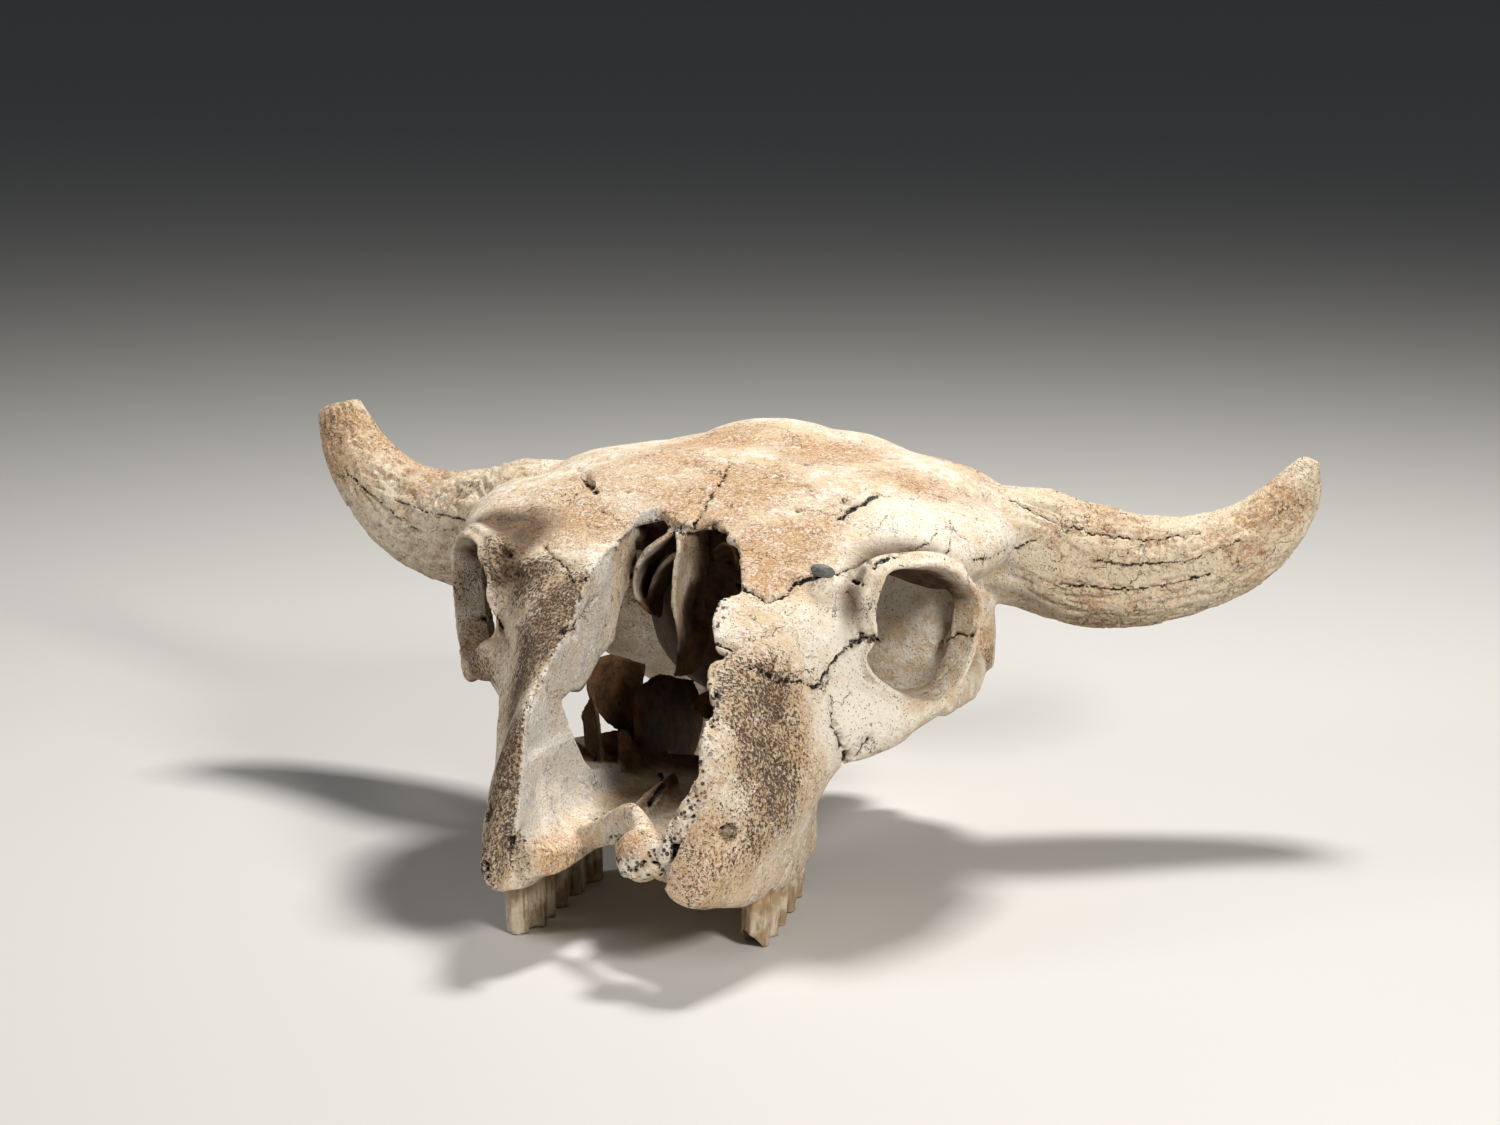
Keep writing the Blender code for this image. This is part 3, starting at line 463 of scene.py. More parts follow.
def sheet(name, rows, thickness, steps=3):
    """A thin curved plate through rows of points, closed all round."""
    fine = np.array([smooth_rows(row, steps) for row in rows])
    middle = smooth_rows(fine.reshape(len(rows), -1), steps).reshape(-1, fine.shape[1], 3)
    out = np.cross(np.gradient(middle, axis=1), np.gradient(middle, axis=0))
    out *= 0.5 * thickness / np.linalg.norm(out, axis=2)[:, :, None]
    return mesh_of_rings(name, [[*(row + o), *(row - o)[::-1]] for row, o in zip(middle, out)])


def superoval(half_width, half_height, power, sides=32):
    """Points of an oval that nears a rectangle as its power grows."""
    found = []
    for k in range(sides):
        turn = 2 * math.pi * k / sides
        across, up = math.cos(turn), math.sin(turn)
        x = half_width * math.copysign(abs(across) ** (2 / power), across)
        y = half_height * math.copysign(abs(up) ** (2 / power), up)
        found.append((x, y))
    return found


def ball(name, centre, radii, collection, turn=(0, 0, 0)):
    """An ellipsoid from a primitive sphere. turn is its rotation in degrees about X, Y and Z."""
    rounds = 24 if max(radii) > 12 else 14
    bpy.ops.mesh.primitive_uv_sphere_add(segments=rounds, ring_count=rounds // 2 + 1, radius=1.0)
    shape = bpy.context.object
    shape.name = name
    for other in list(shape.users_collection):
        other.objects.unlink(shape)
    collection.objects.link(shape)
    tilt = Matrix.Rotation(math.radians(turn[2]), 4, "Z") @ Matrix.Rotation(math.radians(turn[1]), 4, "Y")
    tilt = tilt @ Matrix.Rotation(math.radians(turn[0]), 4, "X")
    size = Matrix.Diagonal((*(r * MM for r in radii), 1.0))
    shape.data.transform(Matrix.Translation(Vector(centre) * MM) @ tilt @ size)
    return shape


def mirrored(points, side):
    """Points or rows with x on the side asked for."""
    return [(side * p[0], *p[1:]) for p in points]


def horn_place(side, t, kind):
    """The place at share t along a horn core's curve, as the kind of vector asked for, with x above 0."""
    a, b, c, d = (kind(p) for p in HORN_PATH)
    c[2] += HORN_RISE[side][0]
    d[2] += HORN_RISE[side][1]
    return (1 - t) ** 3 * a + 3 * (1 - t) ** 2 * t * b + 3 * (1 - t) * t**2 * c + t**3 * d


def horn_core(side, collection):
    """A tapering curve object from inside the frontal bone to the tip, as a mesh."""
    spans = 22
    points = [Vector(HORN_ROOT)]
    points += [horn_place(side, step / spans, Vector) for step in range(spans + 1)]
    marks = (0, 0.25, 0.5, 0.75, 0.92, 1.0)
    radii = [HORN_RADII[side][0] * 0.9]
    radii += [float(np.interp(step / spans, marks, HORN_RADII[side])) for step in range(spans + 1)]
    data = bpy.data.curves.new("horn_core", "CURVE")
    data.dimensions = "3D"
    data.bevel_depth = MM
    data.bevel_resolution = 4
    data.use_fill_caps = True
    spline = data.splines.new("POLY")
    spline.points.add(len(points) - 1)
    for point, centre, radius in zip(spline.points, points, radii):
        point.co = (side * centre.x * MM, centre.y * MM, centre.z * MM, 1.0)
        point.radius = radius
    return as_mesh(place("horn_core", data, collection), collection)


def as_mesh(curve, collection):
    """Turn a curve object into a mesh with its caps welded, and remove the curve."""
    graph = bpy.context.evaluated_depsgraph_get()
    mesh = bpy.data.meshes.new_from_object(curve.evaluated_get(graph))
    shape = bmesh.new()
    shape.from_mesh(mesh)
    bmesh.ops.remove_doubles(shape, verts=shape.verts[:], dist=0.01 * MM)
    bmesh.ops.recalc_face_normals(shape, faces=shape.faces[:])
    shape.to_mesh(mesh)
    shape.free()
    solid = place(curve.name, mesh, collection)
    solid.matrix_world = curve.matrix_world
    bpy.data.objects.remove(curve)
    return solid


def face_ring(row):
    """One section of the face, from the middle of the palate round over the top and back."""
    y, palate, gum_x, gum_z, middle_x, middle_z, wide_x, wide_z, shoulder_x, shoulder_z, top = row
    half = [
        (0.0, palate),
        (0.42 * gum_x, palate),
        (0.66 * gum_x, palate - 3),
        (gum_x - 14, gum_z + 1),
        (gum_x, gum_z),
        (middle_x, middle_z),
        (wide_x, wide_z),
        (0.5 * (wide_x + shoulder_x) + 3, 0.5 * (wide_z + shoulder_z)),
        (shoulder_x, shoulder_z),
        (0.5 * shoulder_x, top),
        (0.0, top),
    ]
    ring = half + [(-x, z) for x, z in half[-2:0:-1]]
    return [(x, y, z) for x, z in smooth_rows(ring, 3, closed=True)]


def build_face(collection):
    """The upper jaw and cheeks as a solid, before the nose is hollowed out."""
    rings = [face_ring(row) for row in smooth_rows(FACE, 3)]
    skin("face", rings, collection)


def build_roof(collection):
    """The broad domed frontal bone and the poll."""
    rings = []
    for y, half_width, top, low in smooth_rows(ROOF, 3):
        middle, half = (top + low) / 2, (top - low) / 2
        rings.append([(x, y, middle + z) for x, z in superoval(half_width, half, ROOF_ROUNDNESS)])
    skin("roof", rings, collection)
    ball("poll_bump", (-2, POLL_Y - 4, POLL_HEIGHT - 18), (50, 44, 18), collection)
    ball("poll_base", (6, POLL_Y - 12, POLL_HEIGHT - 28), (96, 66, 21), collection)
    ball("poll_side", (26, POLL_Y + 4, POLL_HEIGHT - 24), (58, 34, 18), collection)
    for side in (1, -1):
        turn = (0, side * 10, side * -14)
        ball("horn_root", (side * 128, 96, 202), (40, 74, 24), collection, turn)


def build_braincase(collection):
    """Braincase, skull base, occiput, condyles and the processes behind."""
    ball("braincase", (0, 158, 148), (66, 86, 62), collection)
    ball("forebrain", (0, 110, 160), (50, 50, 50), collection)
    rings = []
    for z, half_width, front, back in smooth_rows(OCCIPUT, 3):
        middle, half = (front + back) / 2, (back - front) / 2
        rings.append([(x, middle + y, z) for x, y in superoval(half_width, half, 2.6)])
    skin("occiput", rings, collection)
    base = [(0, 252, 88, 15, 27), (0, 200, 84, 14, 26), (0, 140, 90, 12, 19), (0, 80, 98, 10, 15)]
    base += [(0, 40, 106, 8, 10)]
    bar("skull_base", base, ACROSS, collection)
    for side in (1, -1):
        ball("condyle", (side * 36, 256, 100), (27, 25, 26), collection, (0, side * 25, 0))
        process = [(74, 226, 86, 14, 22), (69, 228, 60, 10, 16), (68, 229, 47, 6, 10)]
        if side == -1:
            process = [(74, 226, 86, 14, 22), (67, 229, 50, 10, 17), (61, 229, 20, 8, 13)]
            process += [(58, 228, -4, 6, 11)]
        rows = mirrored(process, side)
        bar("paroccipital", rows, Vector((0.3 * side, 1, 0)), collection)
        ball("bulla", (side * 44, 192, 74), (13, 24, 17), collection)
    ridge = [(-104, 226, 196, 7, 9), (-66, 238, 216, 7, 9), (0, 244, 226, 8, 10), (66, 238, 216, 7, 9)]
    ridge += [(104, 226, 196, 7, 9)]
    bar("nuchal_crest", ridge, Vector((0, 0.5, 1)), collection)
    keel = [(0, 246, 222, 6, 8), (0, 250, 196, 7, 9), (0, 246, 160, 5, 6)]
    bar("nuchal_keel", keel, BACK, collection)


def build_cheek_arch(side, collection):
    """The bar from below the orbit back to the squamosal, and the flange that it springs from."""
    arch = [(147, 38, 122, 7, 12), (148, 75, 118, 6, 11), (146, 115, 114, 6, 11), (139, 152, 114, 8, 13)]
    arch += [(124, 184, 116, 14, 22)]
    bar("cheek_arch", mirrored(arch, side), UP, collection)
    flange = mirrored(CHEEK_FLANGE[side], side)
    bar("cheek_flange", flange, Vector((0.2 * side, 0, 1)), collection)
    crest = [(138, 166, 110, 10, 20), (139, 170, 134, 9, 17), (132, 178, 158, 11, 18)]
    crest += [(126, 184, 176, 12, 22)]
    bar("temporal_crest", mirrored(crest, side), BACK, collection)


def orbit_points(side):
    """The orbit's inner edge on one side, and its middle and outward axis there."""
    axis = Vector((side * ORBIT_AXIS.x, ORBIT_AXIS.y, ORBIT_AXIS.z))
    edge = []
    for x, y, z, _ in mirrored(ORBIT_EDGE, side):
        share = min(1.0, (ORBIT_TOP - z) / ORBIT_HEIGHT)
        edge.append(Vector((x, y, z + ORBIT_RISE[side] * share)))
    return edge, sum(edge, Vector()) / len(edge), axis


def build_orbit_body(side, collection):
    """The thick bone round the orbit, as a short sleeve that narrows inward."""
    edge, middle, axis = orbit_points(side)
    rows, long_axes = [], []
    for point, (_, _, _, wall) in zip(edge, ORBIT_EDGE):
        outward = (point - middle).normalized()
        centre = point + outward * wall * 0.5 - axis * 15.0
        rows.append((*centre, wall * 0.5 + 1.0, 11.0))
        long_axes.append(-axis - outward * 0.3)
    bar("orbit_body", rows, long_axes, collection, closed=True, steps=3)


def build_orbit_crest(side, collection):
    """The sharp edge of the orbit's rim. Its section widens from the crest inward."""
    edge, middle, axis = orbit_points(side)
    points = [(*point, row[3]) for point, row in zip(edge, ORBIT_EDGE)]
    rings = []
    for x, y, z, wall in smooth_rows(points, 4, closed=True):
        flat = Vector((x, y, z)) - middle
        outward = (flat - axis * flat.dot(axis)).normalized()
        section = ((-0.8, 0.0), (1.0, 0.2), (2.4, -1.6), (0.45 * wall, -5), (0.85 * wall, -11))
        section += ((0.6 * wall, -20), (-4.5, -20), (-3.2, -12), (-1.8, -5))
        rings.append([middle + flat + outward * across + axis * along for across, along in section])
    skin("orbit_crest", rings, collection, closed=True)


def build_inner_plates(side, collection):
    """Upright plates below the braincase, either side of the way out of the nose."""
    plate = [(24, 104, 92, 3.5, 16), (26, 80, 86, 3.5, 30), (29, 52, 84, 3.5, 38), (34, 22, 84, 3.5, 34)]
    bar("pterygoid", mirrored(plate, side), Vector((0.1 * side, 0.1, 1)), collection)


def build_nose_plates(collection):
    """The septum and the thin plates beside it."""
    for name, rows in NOSE_PLATES.items():
        place(name, sheet(name, rows, PLATE_THICKNESS), collection)


def build_broken_front(collection):
    """What is left of the bone in front of the nose: a low crest, a spongy lump and the strip above it."""
    floor_crest = [(-6, -96, 62, 7, 10), (-6, -60, 66, 5, 9), (-2, -10, 70, 4, 9)]
    bar("floor_crest", floor_crest, UP, collection)
    ridge = [(-30, -97, 60, 4, 7), (-16, -104, 66, 4, 8), (-4, -110, 74, 4, 9), (6, -116, 80, 4, 9)]
    ridge += [(14, -126, 80, 5, 8), (20, -136, 76, 7, 9)]
    bar("spongy_ridge", ridge, UP, collection)
    ball("spongy_lump", (21, -143, 67), (15, 15, 15), collection)
    strip = [(50, -130, 108, 4, 9), (47, -138, 96, 5, 9), (41, -144, 82, 6, 9), (35, -148, 68, 6, 9)]
    strip += [(33, -146, 60, 6, 8)]
    bar("broken_strip", strip, Vector((0, 1, 0.4)), collection)


def orbit_cavity(side, collection):
    """The space of the eye, from outside the rim in to the middle of the skull."""
    edge, middle, axis = orbit_points(side)
    rings = []
    for along, share, twist in ORBIT_DEPTHS:
        drift = Vector((0, 18, 0)) * max(0.0, -along) / 60
        ring = []
        for point in edge:
            flat = point - middle
            depth = flat.dot(axis)
            ring.append(middle + (flat - axis * depth) * share + axis * (along + twist * depth) + drift)
        rings.append(smooth_rows(ring, 3, closed=True).tolist())
    skin("orbit_cavity", rings, collection)


def prism(name, outline, low, high, collection):
    """An upright prism over an outline in plan."""
    rings = [[(x, y, z) for x, y in outline] for z in (low, high)]
    skin(name, rings, collection)


def side_prism(name, outline, near, far, collection):
    """A prism along X over an outline of y and z."""
    rings = [[(x, y, z) for y, z in outline] for x in (near, far)]
    skin(name, rings, collection)


def nasal_cavity(collection):
    """The hollow of the nose, with rounded lower corners."""
    rings = []
    for y, half_width, floor in smooth_rows(NOSE, 3):
        roof_y, roof_z = zip(*NOSE_ROOF)
        top = float(np.interp(y, roof_y, roof_z)) if y > roof_y[0] else 300.0
        bow = (0.55, 0), (0.85, 4), (0.97, 14), (1.0, 34)
        half = [(half_width * share, floor + rise) for share, rise in bow]
        half += [(half_width, 0.5 * (floor + top)), (half_width, top)]
        rings.append([(x, y, z) for x, z in half] + [(-x, y, z) for x, z in half[::-1]])
    skin("nasal_cavity", rings, collection)
    prism("nasal_opening", NOSE_EDGE, 112, 300, collection)
    prism("palate_break", PALATE_EDGE, 20, 76, collection)


def sinus_cavities(collection):
    """The hollows beside the nose. The -X one is broken open to it and both are open behind."""
    rows = [(-62, -52, 100, 10, 12), (-66, -34, 108, 20, 26), (-72, -8, 112, 24, 34)]
    rows += [(-74, 24, 108, 24, 27), (-72, 60, 98, 20, 17)]
    bar("sinus", rows, UP, collection)
    rows = [(72, -14, 110, 12, 20), (76, 10, 114, 20, 30), (76, 34, 116, 22, 32), (74, 62, 116, 22, 30)]
    bar("sinus", rows, UP, collection)
    side_prism("broken_wall", WALL_EDGE, -36, -70, collection)


def brain_cavity(collection):
    """The foramen magnum and the hollow of the braincase."""
    rows = [(0, 300, 112, 19, 20), (0, 262, 116, 18, 20), (0, 232, 122, 20, 22), (0, 200, 136, 32, 36)]
    rows += [(0, 165, 148, 40, 44), (0, 125, 152, 34, 38), (0, 98, 154, 14, 16)]
    bar("brain_cavity", rows, ACROSS, collection, sides=20)


def brow_groove(side, collection):
    """The vessel groove that runs back from the foramen over the orbit."""
    rows = [(80, 62, 231, 4, 5), (84, 74, 232, 4, 4.5), (92, 94, 236, 3.5, 4), (103, 112, 237, 3, 3)]
    bar("brow_groove", mirrored(rows, side), ACROSS, collection)
    ball("brow_hole", (side * 81, 68, 228), (5, 5, 8), collection)


def sight_holes(side, collection):
    """Foramina: below the orbit, at its rim and of the ear."""
    ball("infraorbital", (side * 66, -137, 82), (9, 8, 5.5), collection, (0, 0, side * 30))
    ball("lacrimal", (side * 108, -5, 200), (5, 6, 7), collection)
    ball("ear_hole", (side * 138, 214, 112), (22, 7, 7), collection)


def gather(name, collection, parts):
    """Join the objects of a collection into one object of another, and empty the first."""
    shape = bmesh.new()
    for piece in list(parts.objects):
        shape.from_mesh(piece.data)
        bpy.data.objects.remove(piece)
    mesh = bpy.data.meshes.new(name)
    shape.to_mesh(mesh)
    shape.free()
    return place(name, mesh, collection)


def add_modifier(shape, kind, **values):
    """A modifier with these values."""
    modifier = shape.modifiers.new(kind.title(), kind)
    for key, value in values.items():
        setattr(modifier, key, value)
    return modifier


def baked(shape):
    """Replace an object's mesh with what its modifiers make of it."""
    graph = bpy.context.evaluated_depsgraph_get()
    mesh = bpy.data.meshes.new_from_object(shape.evaluated_get(graph))
    shape.modifiers.clear()
    shape.data = mesh
    return shape


def reskinned(shape, voxel, factor, steps):
    """Fuse an object's shells into one skin of voxels, and soften it."""
    add_modifier(shape, "REMESH", mode="VOXEL", voxel_size=voxel * MM)
    add_modifier(shape, "SMOOTH", factor=factor, iterations=steps)
    baked(shape)


def keep_largest(shape):
    """Drop every shell of a mesh but the largest, so that loose crumbs and bubbles go."""
    grid = bmesh.new()
    grid.from_mesh(shape.data)
    seen, shells = set(), []
    for start in grid.verts:
        if start in seen:
            continue
        seen.add(start)
        shell, queue = [], [start]
        while queue:
            corner = queue.pop()
            shell.append(corner)
            for edge in corner.link_edges:
                other = edge.other_vert(corner)
                if other not in seen:
                    seen.add(other)
                    queue.append(other)
        shells.append(shell)
    shells.sort(key=len)
    crumbs = [corner for shell in shells[:-1] for corner in shell]
    bmesh.ops.delete(grid, geom=crumbs, context="VERTS")
    grid.to_mesh(shape.data)
    grid.free()


def build_outside(staging):
    """Every form that shows from outside, still solid and unjoined."""
    build_face(staging)
    build_roof(staging)
    build_braincase(staging)
    for side in (1, -1):
        horn_core(side, staging)
        build_cheek_arch(side, staging)
        build_orbit_body(side, staging)


def build_hollows(staging):
    """Every opening and cavity."""
    nasal_cavity(staging)
    sinus_cavities(staging)
    brain_cavity(staging)
    for side in (1, -1):
        orbit_cavity(side, staging)
        sight_holes(side, staging)
        brow_groove(side, staging)


def build_thin_bone(staging):
    """What is too thin to be smoothed with the rest: plates, crests and the broken front."""
    build_nose_plates(staging)
    build_broken_front(staging)
    for side in (1, -1):
        build_inner_plates(side, staging)
        build_orbit_crest(side, staging)


def refined_bone(staging, model):
    """The whole skull bone as one dense closed skin."""
    build_outside(staging)
    bone = gather("bone", model, staging)
    reskinned(bone, VOXEL, 0.5, SOFTENING_STEPS)

    build_hollows(staging)
    hollows = gather("hollows", model, staging)
    reskinned(hollows, VOXEL, 0.5, EDGE_SOFTENING_STEPS)
    add_modifier(bone, "BOOLEAN", operation="DIFFERENCE", object=hollows, solver="MANIFOLD")
    baked(bone)
    bpy.data.objects.remove(hollows)

    build_thin_bone(staging)
    for name, rows in SMALL_PLATES.items():
        place(name, sheet(name, rows, PLATE_THICKNESS), staging)
    staging.objects.link(bone)
    model.objects.unlink(bone)
    bone = gather("cranium_bone", model, staging)
    reskinned(bone, FINE_VOXEL, 0.4, EDGE_SOFTENING_STEPS)
    keep_largest(bone)
    return bone


def lattice(ix, iy, iz, seed):
    """Repeatable values from 0 to 1 at whole-number points."""
    mix = (ix * 374761393 + iy * 668265263 + iz * 1440662683 + seed * 974634777) & 0xFFFFFFFF
    mix = ((mix ^ (mix >> 13)) * 1274126177) & 0xFFFFFFFF
    return ((mix ^ (mix >> 16)) & 0xFFFF) / 65535.0


def value_noise(points, scale, seed):
    """Smooth noise from -1 to 1 whose lumps are about scale mm wide. scale may differ by axis."""
    spot = points / np.asarray(scale, float)
    cell = np.floor(spot).astype(np.int64)
    t = spot - cell
    t = t * t * t * (t * (t * 6 - 15) + 10)
    total = 0.0
    for dx in (0, 1):
        wx = t[:, 0] if dx else 1 - t[:, 0]
        for dy in (0, 1):
            wy = t[:, 1] if dy else 1 - t[:, 1]
            for dz in (0, 1):
                wz = t[:, 2] if dz else 1 - t[:, 2]
                corner = lattice(cell[:, 0] + dx, cell[:, 1] + dy, cell[:, 2] + dz, seed)
                total = total + wx * wy * wz * corner
    return 2 * total - 1


def rough_noise(points, scale, seed, octaves=3):
    """Noise with finer and fainter copies of itself."""
    total, weight, norm = 0.0, 1.0, 0.0
    for octave in range(octaves):
        total = total + weight * value_noise(points, np.asarray(scale, float) / 2**octave, seed + octave)
        norm += weight
        weight *= 0.5
    return total / norm


def ramp(low, high, value):
    """0 below low, 1 above high and smooth between."""
    t = np.clip((value - low) / (high - low), 0, 1)
    return t * t * (3 - 2 * t)


def vectors(items, key):
    """One vector of each of a mesh's items, as an array."""
    flat = np.empty(3 * len(items), np.float32)
    items.foreach_get(key, flat)
    return flat.reshape(-1, 3).astype(float)


def skull_points(mesh):
    """A mesh's vertices in the skull's own millimetres."""
    return vectors(mesh.vertices, "co") / MM


def set_points(mesh, points):
    """Write vertices back."""
    mesh.vertices.foreach_set("co", (points * MM).astype(np.float32).ravel())
    mesh.update()


def skull_normals(mesh):
    """A mesh's vertex normals."""
    return vectors(mesh.vertex_normals, "vector")


def store_masks(mesh, name, masks):
    """Keep four masks, each from 0 to 1 at every vertex, as a colour attribute."""
    layer = mesh.color_attributes.new(name, "FLOAT_COLOR", "POINT")
    layer.data.foreach_set("color", np.clip(masks, 0, 1).astype(np.float32).ravel())


def sight_line(u, v):
    """The line from the photograph's camera through a pixel: where it starts and its direction."""
    pitch, yaw = math.radians(CAMERA_PITCH), math.radians(CAMERA_YAW)
    across = (u - PICTURE[0] / 2) / FOCAL_PIXELS
    down = (v - PICTURE[1] / 2) / FOCAL_PIXELS
    ahead = math.cos(pitch) - down * math.sin(pitch)
    rise = -math.sin(pitch) - down * math.cos(pitch)
    x = across * math.cos(yaw) - ahead * math.sin(yaw)
    y = across * math.sin(yaw) + ahead * math.cos(yaw)
    return Vector(CAMERA_PLACE), Vector((x, y, rise)).normalized()


def surface_tree(mesh):
    """A search tree of a mesh's faces, in mm."""
    points = skull_points(mesh)
    return BVHTree.FromPolygons([Vector(p) for p in points], [tuple(f.vertices) for f in mesh.polygons])


def wavy(pixels, sway, seed):
    """A pixel route with a point every pixel and a half, swaying from side to side."""
    route = np.array(pixels, float)
    lengths = np.hypot(*np.diff(route, axis=0).T)
    marks = np.concatenate([[0], np.cumsum(lengths)])
    count = max(int(marks[-1] / 1.5), 2)
    steps = np.linspace(0, marks[-1], count)
    dense = np.column_stack([np.interp(steps, marks, route[:, k]) for k in (0, 1)])
    along = np.column_stack([steps, np.full(count, seed * 7.3), np.zeros(count)])
    shift_u = value_noise(along, 5.0, seed) + 0.6 * value_noise(along, 2.2, seed + 9)
    shift_v = value_noise(along, 5.0, seed + 3) + 0.6 * value_noise(along, 2.2, seed + 5)
    fade = np.minimum(1, np.minimum(steps, marks[-1] - steps) / 4)
    return dense + 0.6 * sway * fade[:, None] * np.column_stack([shift_u, shift_v])


def crack_points(tree):
    """Every crack as points on the surface: place, half width, depth and the surface's direction there."""
    found = []
    for number, (half_width, depth, sway, pixels) in enumerate(CRACKS.values()):
        for u, v in wavy(pixels, sway, number + 1):
            start, line = sight_line(u, v)
            hit, outward = tree.ray_cast(start, line)[:2]
            if hit:
                found.append((hit, half_width, depth, outward if outward.dot(line) < 0 else -outward))
    return found


def sunken(cracks):
    """The cracks' points at several depths, so that their floors and raised edges are found too."""
    found = []
    for share in (-0.6, 0.0, 0.8, 1.6):
        for spot, half_width, deep, outward in cracks:
            found.append((spot - outward * deep * share, half_width, deep, outward))
    return found


def crack_search(cracks, unit, reach):
    """A search tree of the cracks' points in this unit, and the corners of a box round them all."""
    search = KDTree(len(cracks))
    for number, crack in enumerate(cracks):
        search.insert(crack[0] * unit, number)
    search.balance()
    spots = np.array([crack[0] for crack in cracks]) * unit
    return search, spots.min(0) - reach, spots.max(0) + reach


def crack_depths(points, cracks):
    """How deep each vertex lies in a crack, in mm, and how dark the crack is there, from 0 to 1."""
    search, low, high = crack_search(cracks, 1.0, 4)
    near = np.nonzero(((points > low) & (points < high)).all(1))[0]
    depth = np.zeros(len(points))
    dark = np.zeros(len(points))
    uneven = 1.0 + 0.45 * value_noise(points[near], 5.0, 77)
    for i, width in zip(near, uneven):
        _, number, gap = search.find(points[i])
        _, half_width, deep, _ = cracks[number]
        reach = (1.15 * half_width + 0.35) * width
        if gap < 1.3 * reach:
            depth[i] = 1.4 * deep * (1 - (gap / (1.3 * reach)) ** 2)
            dark[i] = max(0.0, 1 - (gap / reach) ** 2)
    return depth, dark


def refine_near(mesh, cracks, reach):
    """Cut the faces close to the cracks into smaller ones."""
    search, low, high = crack_search(cracks, MM, reach)
    grid = bmesh.new()
    grid.from_mesh(mesh)
    edges = set()
    for corner in grid.verts:
        co = np.array(corner.co)
        if (low < co).all() and (co < high).all() and search.find(corner.co)[2] < reach:
            edges.update(corner.link_edges)
    bmesh.ops.subdivide_edges(grid, edges=list(edges), cuts=1, use_grid_fill=True)
    bmesh.ops.triangulate(grid, faces=[f for f in grid.faces if len(f.verts) > 4])
    grid.to_mesh(mesh)
    grid.free()


def horn_frame(points, side):
    """For each point in mm: how far along the horn core it is, its angle round it and its distance
    from the axis.
    """
    axis = horn_place(side, np.linspace(0, 1, 60)[:, None], np.array) * np.array([side, 1, 1])
    gaps = ((points[:, None, :] - axis[None, :, :]) ** 2).sum(2)
    nearest = gaps.argmin(1)
    tangent = np.gradient(axis, axis=0)
    tangent /= np.linalg.norm(tangent, axis=1)[:, None]
    up = np.array([0, 0, 1.0]) - tangent * tangent[:, 2:3]
    up /= np.linalg.norm(up, axis=1)[:, None]
    sideways = np.cross(tangent, up)
    offset = points - axis[nearest]
    angle = np.arctan2((offset * sideways[nearest]).sum(1), (offset * up[nearest]).sum(1))
    arc = np.concatenate([[0], np.cumsum(np.linalg.norm(np.diff(axis, axis=0), axis=1))])
    return arc[nearest], angle, np.sqrt(gaps.min(1))


def horn_relief(points):
    """Grooves and ridges along the horn cores in mm, and how much of a point is horn core."""
    relief = np.zeros(len(points))
    share = np.zeros(len(points))
    for side in (1, -1):
        near = np.nonzero(side * points[:, 0] > 135)[0]
        arc, angle, gap = horn_frame(points[near], side)
        mask = ramp(150, 175, side * points[near, 0]) * ramp(75, 55, gap)
        wound = angle + 0.35 * value_noise(np.column_stack([arc, angle * 8, arc * 0]), 22.0, 40)
        ring = np.column_stack([np.cos(wound), np.sin(wound), arc / 110]) * 11
        ridges = value_noise(ring, 1.0, 41 + side) + 0.7 * value_noise(ring * 2.1, 1.0, 44 + side)
        grooves = ramp(0.05, 0.75, -ridges)
        skin = np.column_stack([np.cos(wound) * 34, np.sin(wound) * 34, arc])
        pits = ramp(0.45, 0.8, value_noise(skin, (2.6, 2.6, 30), 50 + side))
        relief[near] += mask * (0.7 * ridges - 1.3 * grooves - 0.6 * pits)
        share[near] = np.maximum(share[near], mask)
    return relief, share


def blob(points, centre, radii):
    """1 in the middle of an ellipsoid, 0 outside it and smooth between."""
    away = np.sqrt((((points - np.array(centre)) / np.array(radii)) ** 2).sum(1))
    return ramp(1.0, 0.35, away)


def near_route(points, route, reach):
    """1 on a route of places and 0 further than reach from it, in mm."""
    best = np.full(len(points), 1e9)
    stops = np.array(route, float)
    for a, b in zip(stops, stops[1:]):
        along = b - a
        t = np.clip(((points - a) @ along) / (along @ along), 0, 1)
        best = np.minimum(best, np.linalg.norm(points - a - t[:, None] * along, axis=1))
    return ramp(reach, reach * 0.4, best)


# Where the bone is broken open and spongy, in the skull's own mm: reach and route
SPONGY_ROUTES = (
    (11, ((44, -93, 155), (50, -116, 138), (50, -130, 118), (48, -142, 96), (42, -150, 78), (30, -156, 66))),
    (13, ((36, -158, 64), (22, -160, 60), (8, -154, 58), (-2, -140, 62))),
    (9, ((-30, -66, 60), (-16, -68, 66), (-8, -92, 64), (0, -120, 62))),
    (8, ((-66, -163, 62), (-66, -166, 46))),
    (6, ((38, -62, 180), (32, -2, 206), (22, 19, 210), (8, 36, 214))),
    (6, ((-52, -116, 138), (-47, -75, 166), (-42, -15, 200), (-40, 18, 208), (-28, 44, 214), (-6, 27, 214))),
)


# Where the deep part behind the broken -X wall begins, as z and y; shade is painted behind it
WALL_BACK = (
    (78, -4), (84, -34), (100, -50), (118, -58), (131, -48), (148, 10), (168, 20), (184, 44), (202, 44),
)

# Ellipsoids round the open -X sinus and the floor of the nose, where shade is painted: middle and radii
OPEN_SINUS = ((-70, 20, 110), (30, 74, 42))
NOSE_FLOOR = ((-8, -40, 66), (34, 60, 26))


def spongy_share(points):
    """How much of each point is broken, spongy bone."""
    share = np.zeros(len(points))
    for reach, route in SPONGY_ROUTES:
        share = np.maximum(share, near_route(points, route, reach))
    return share


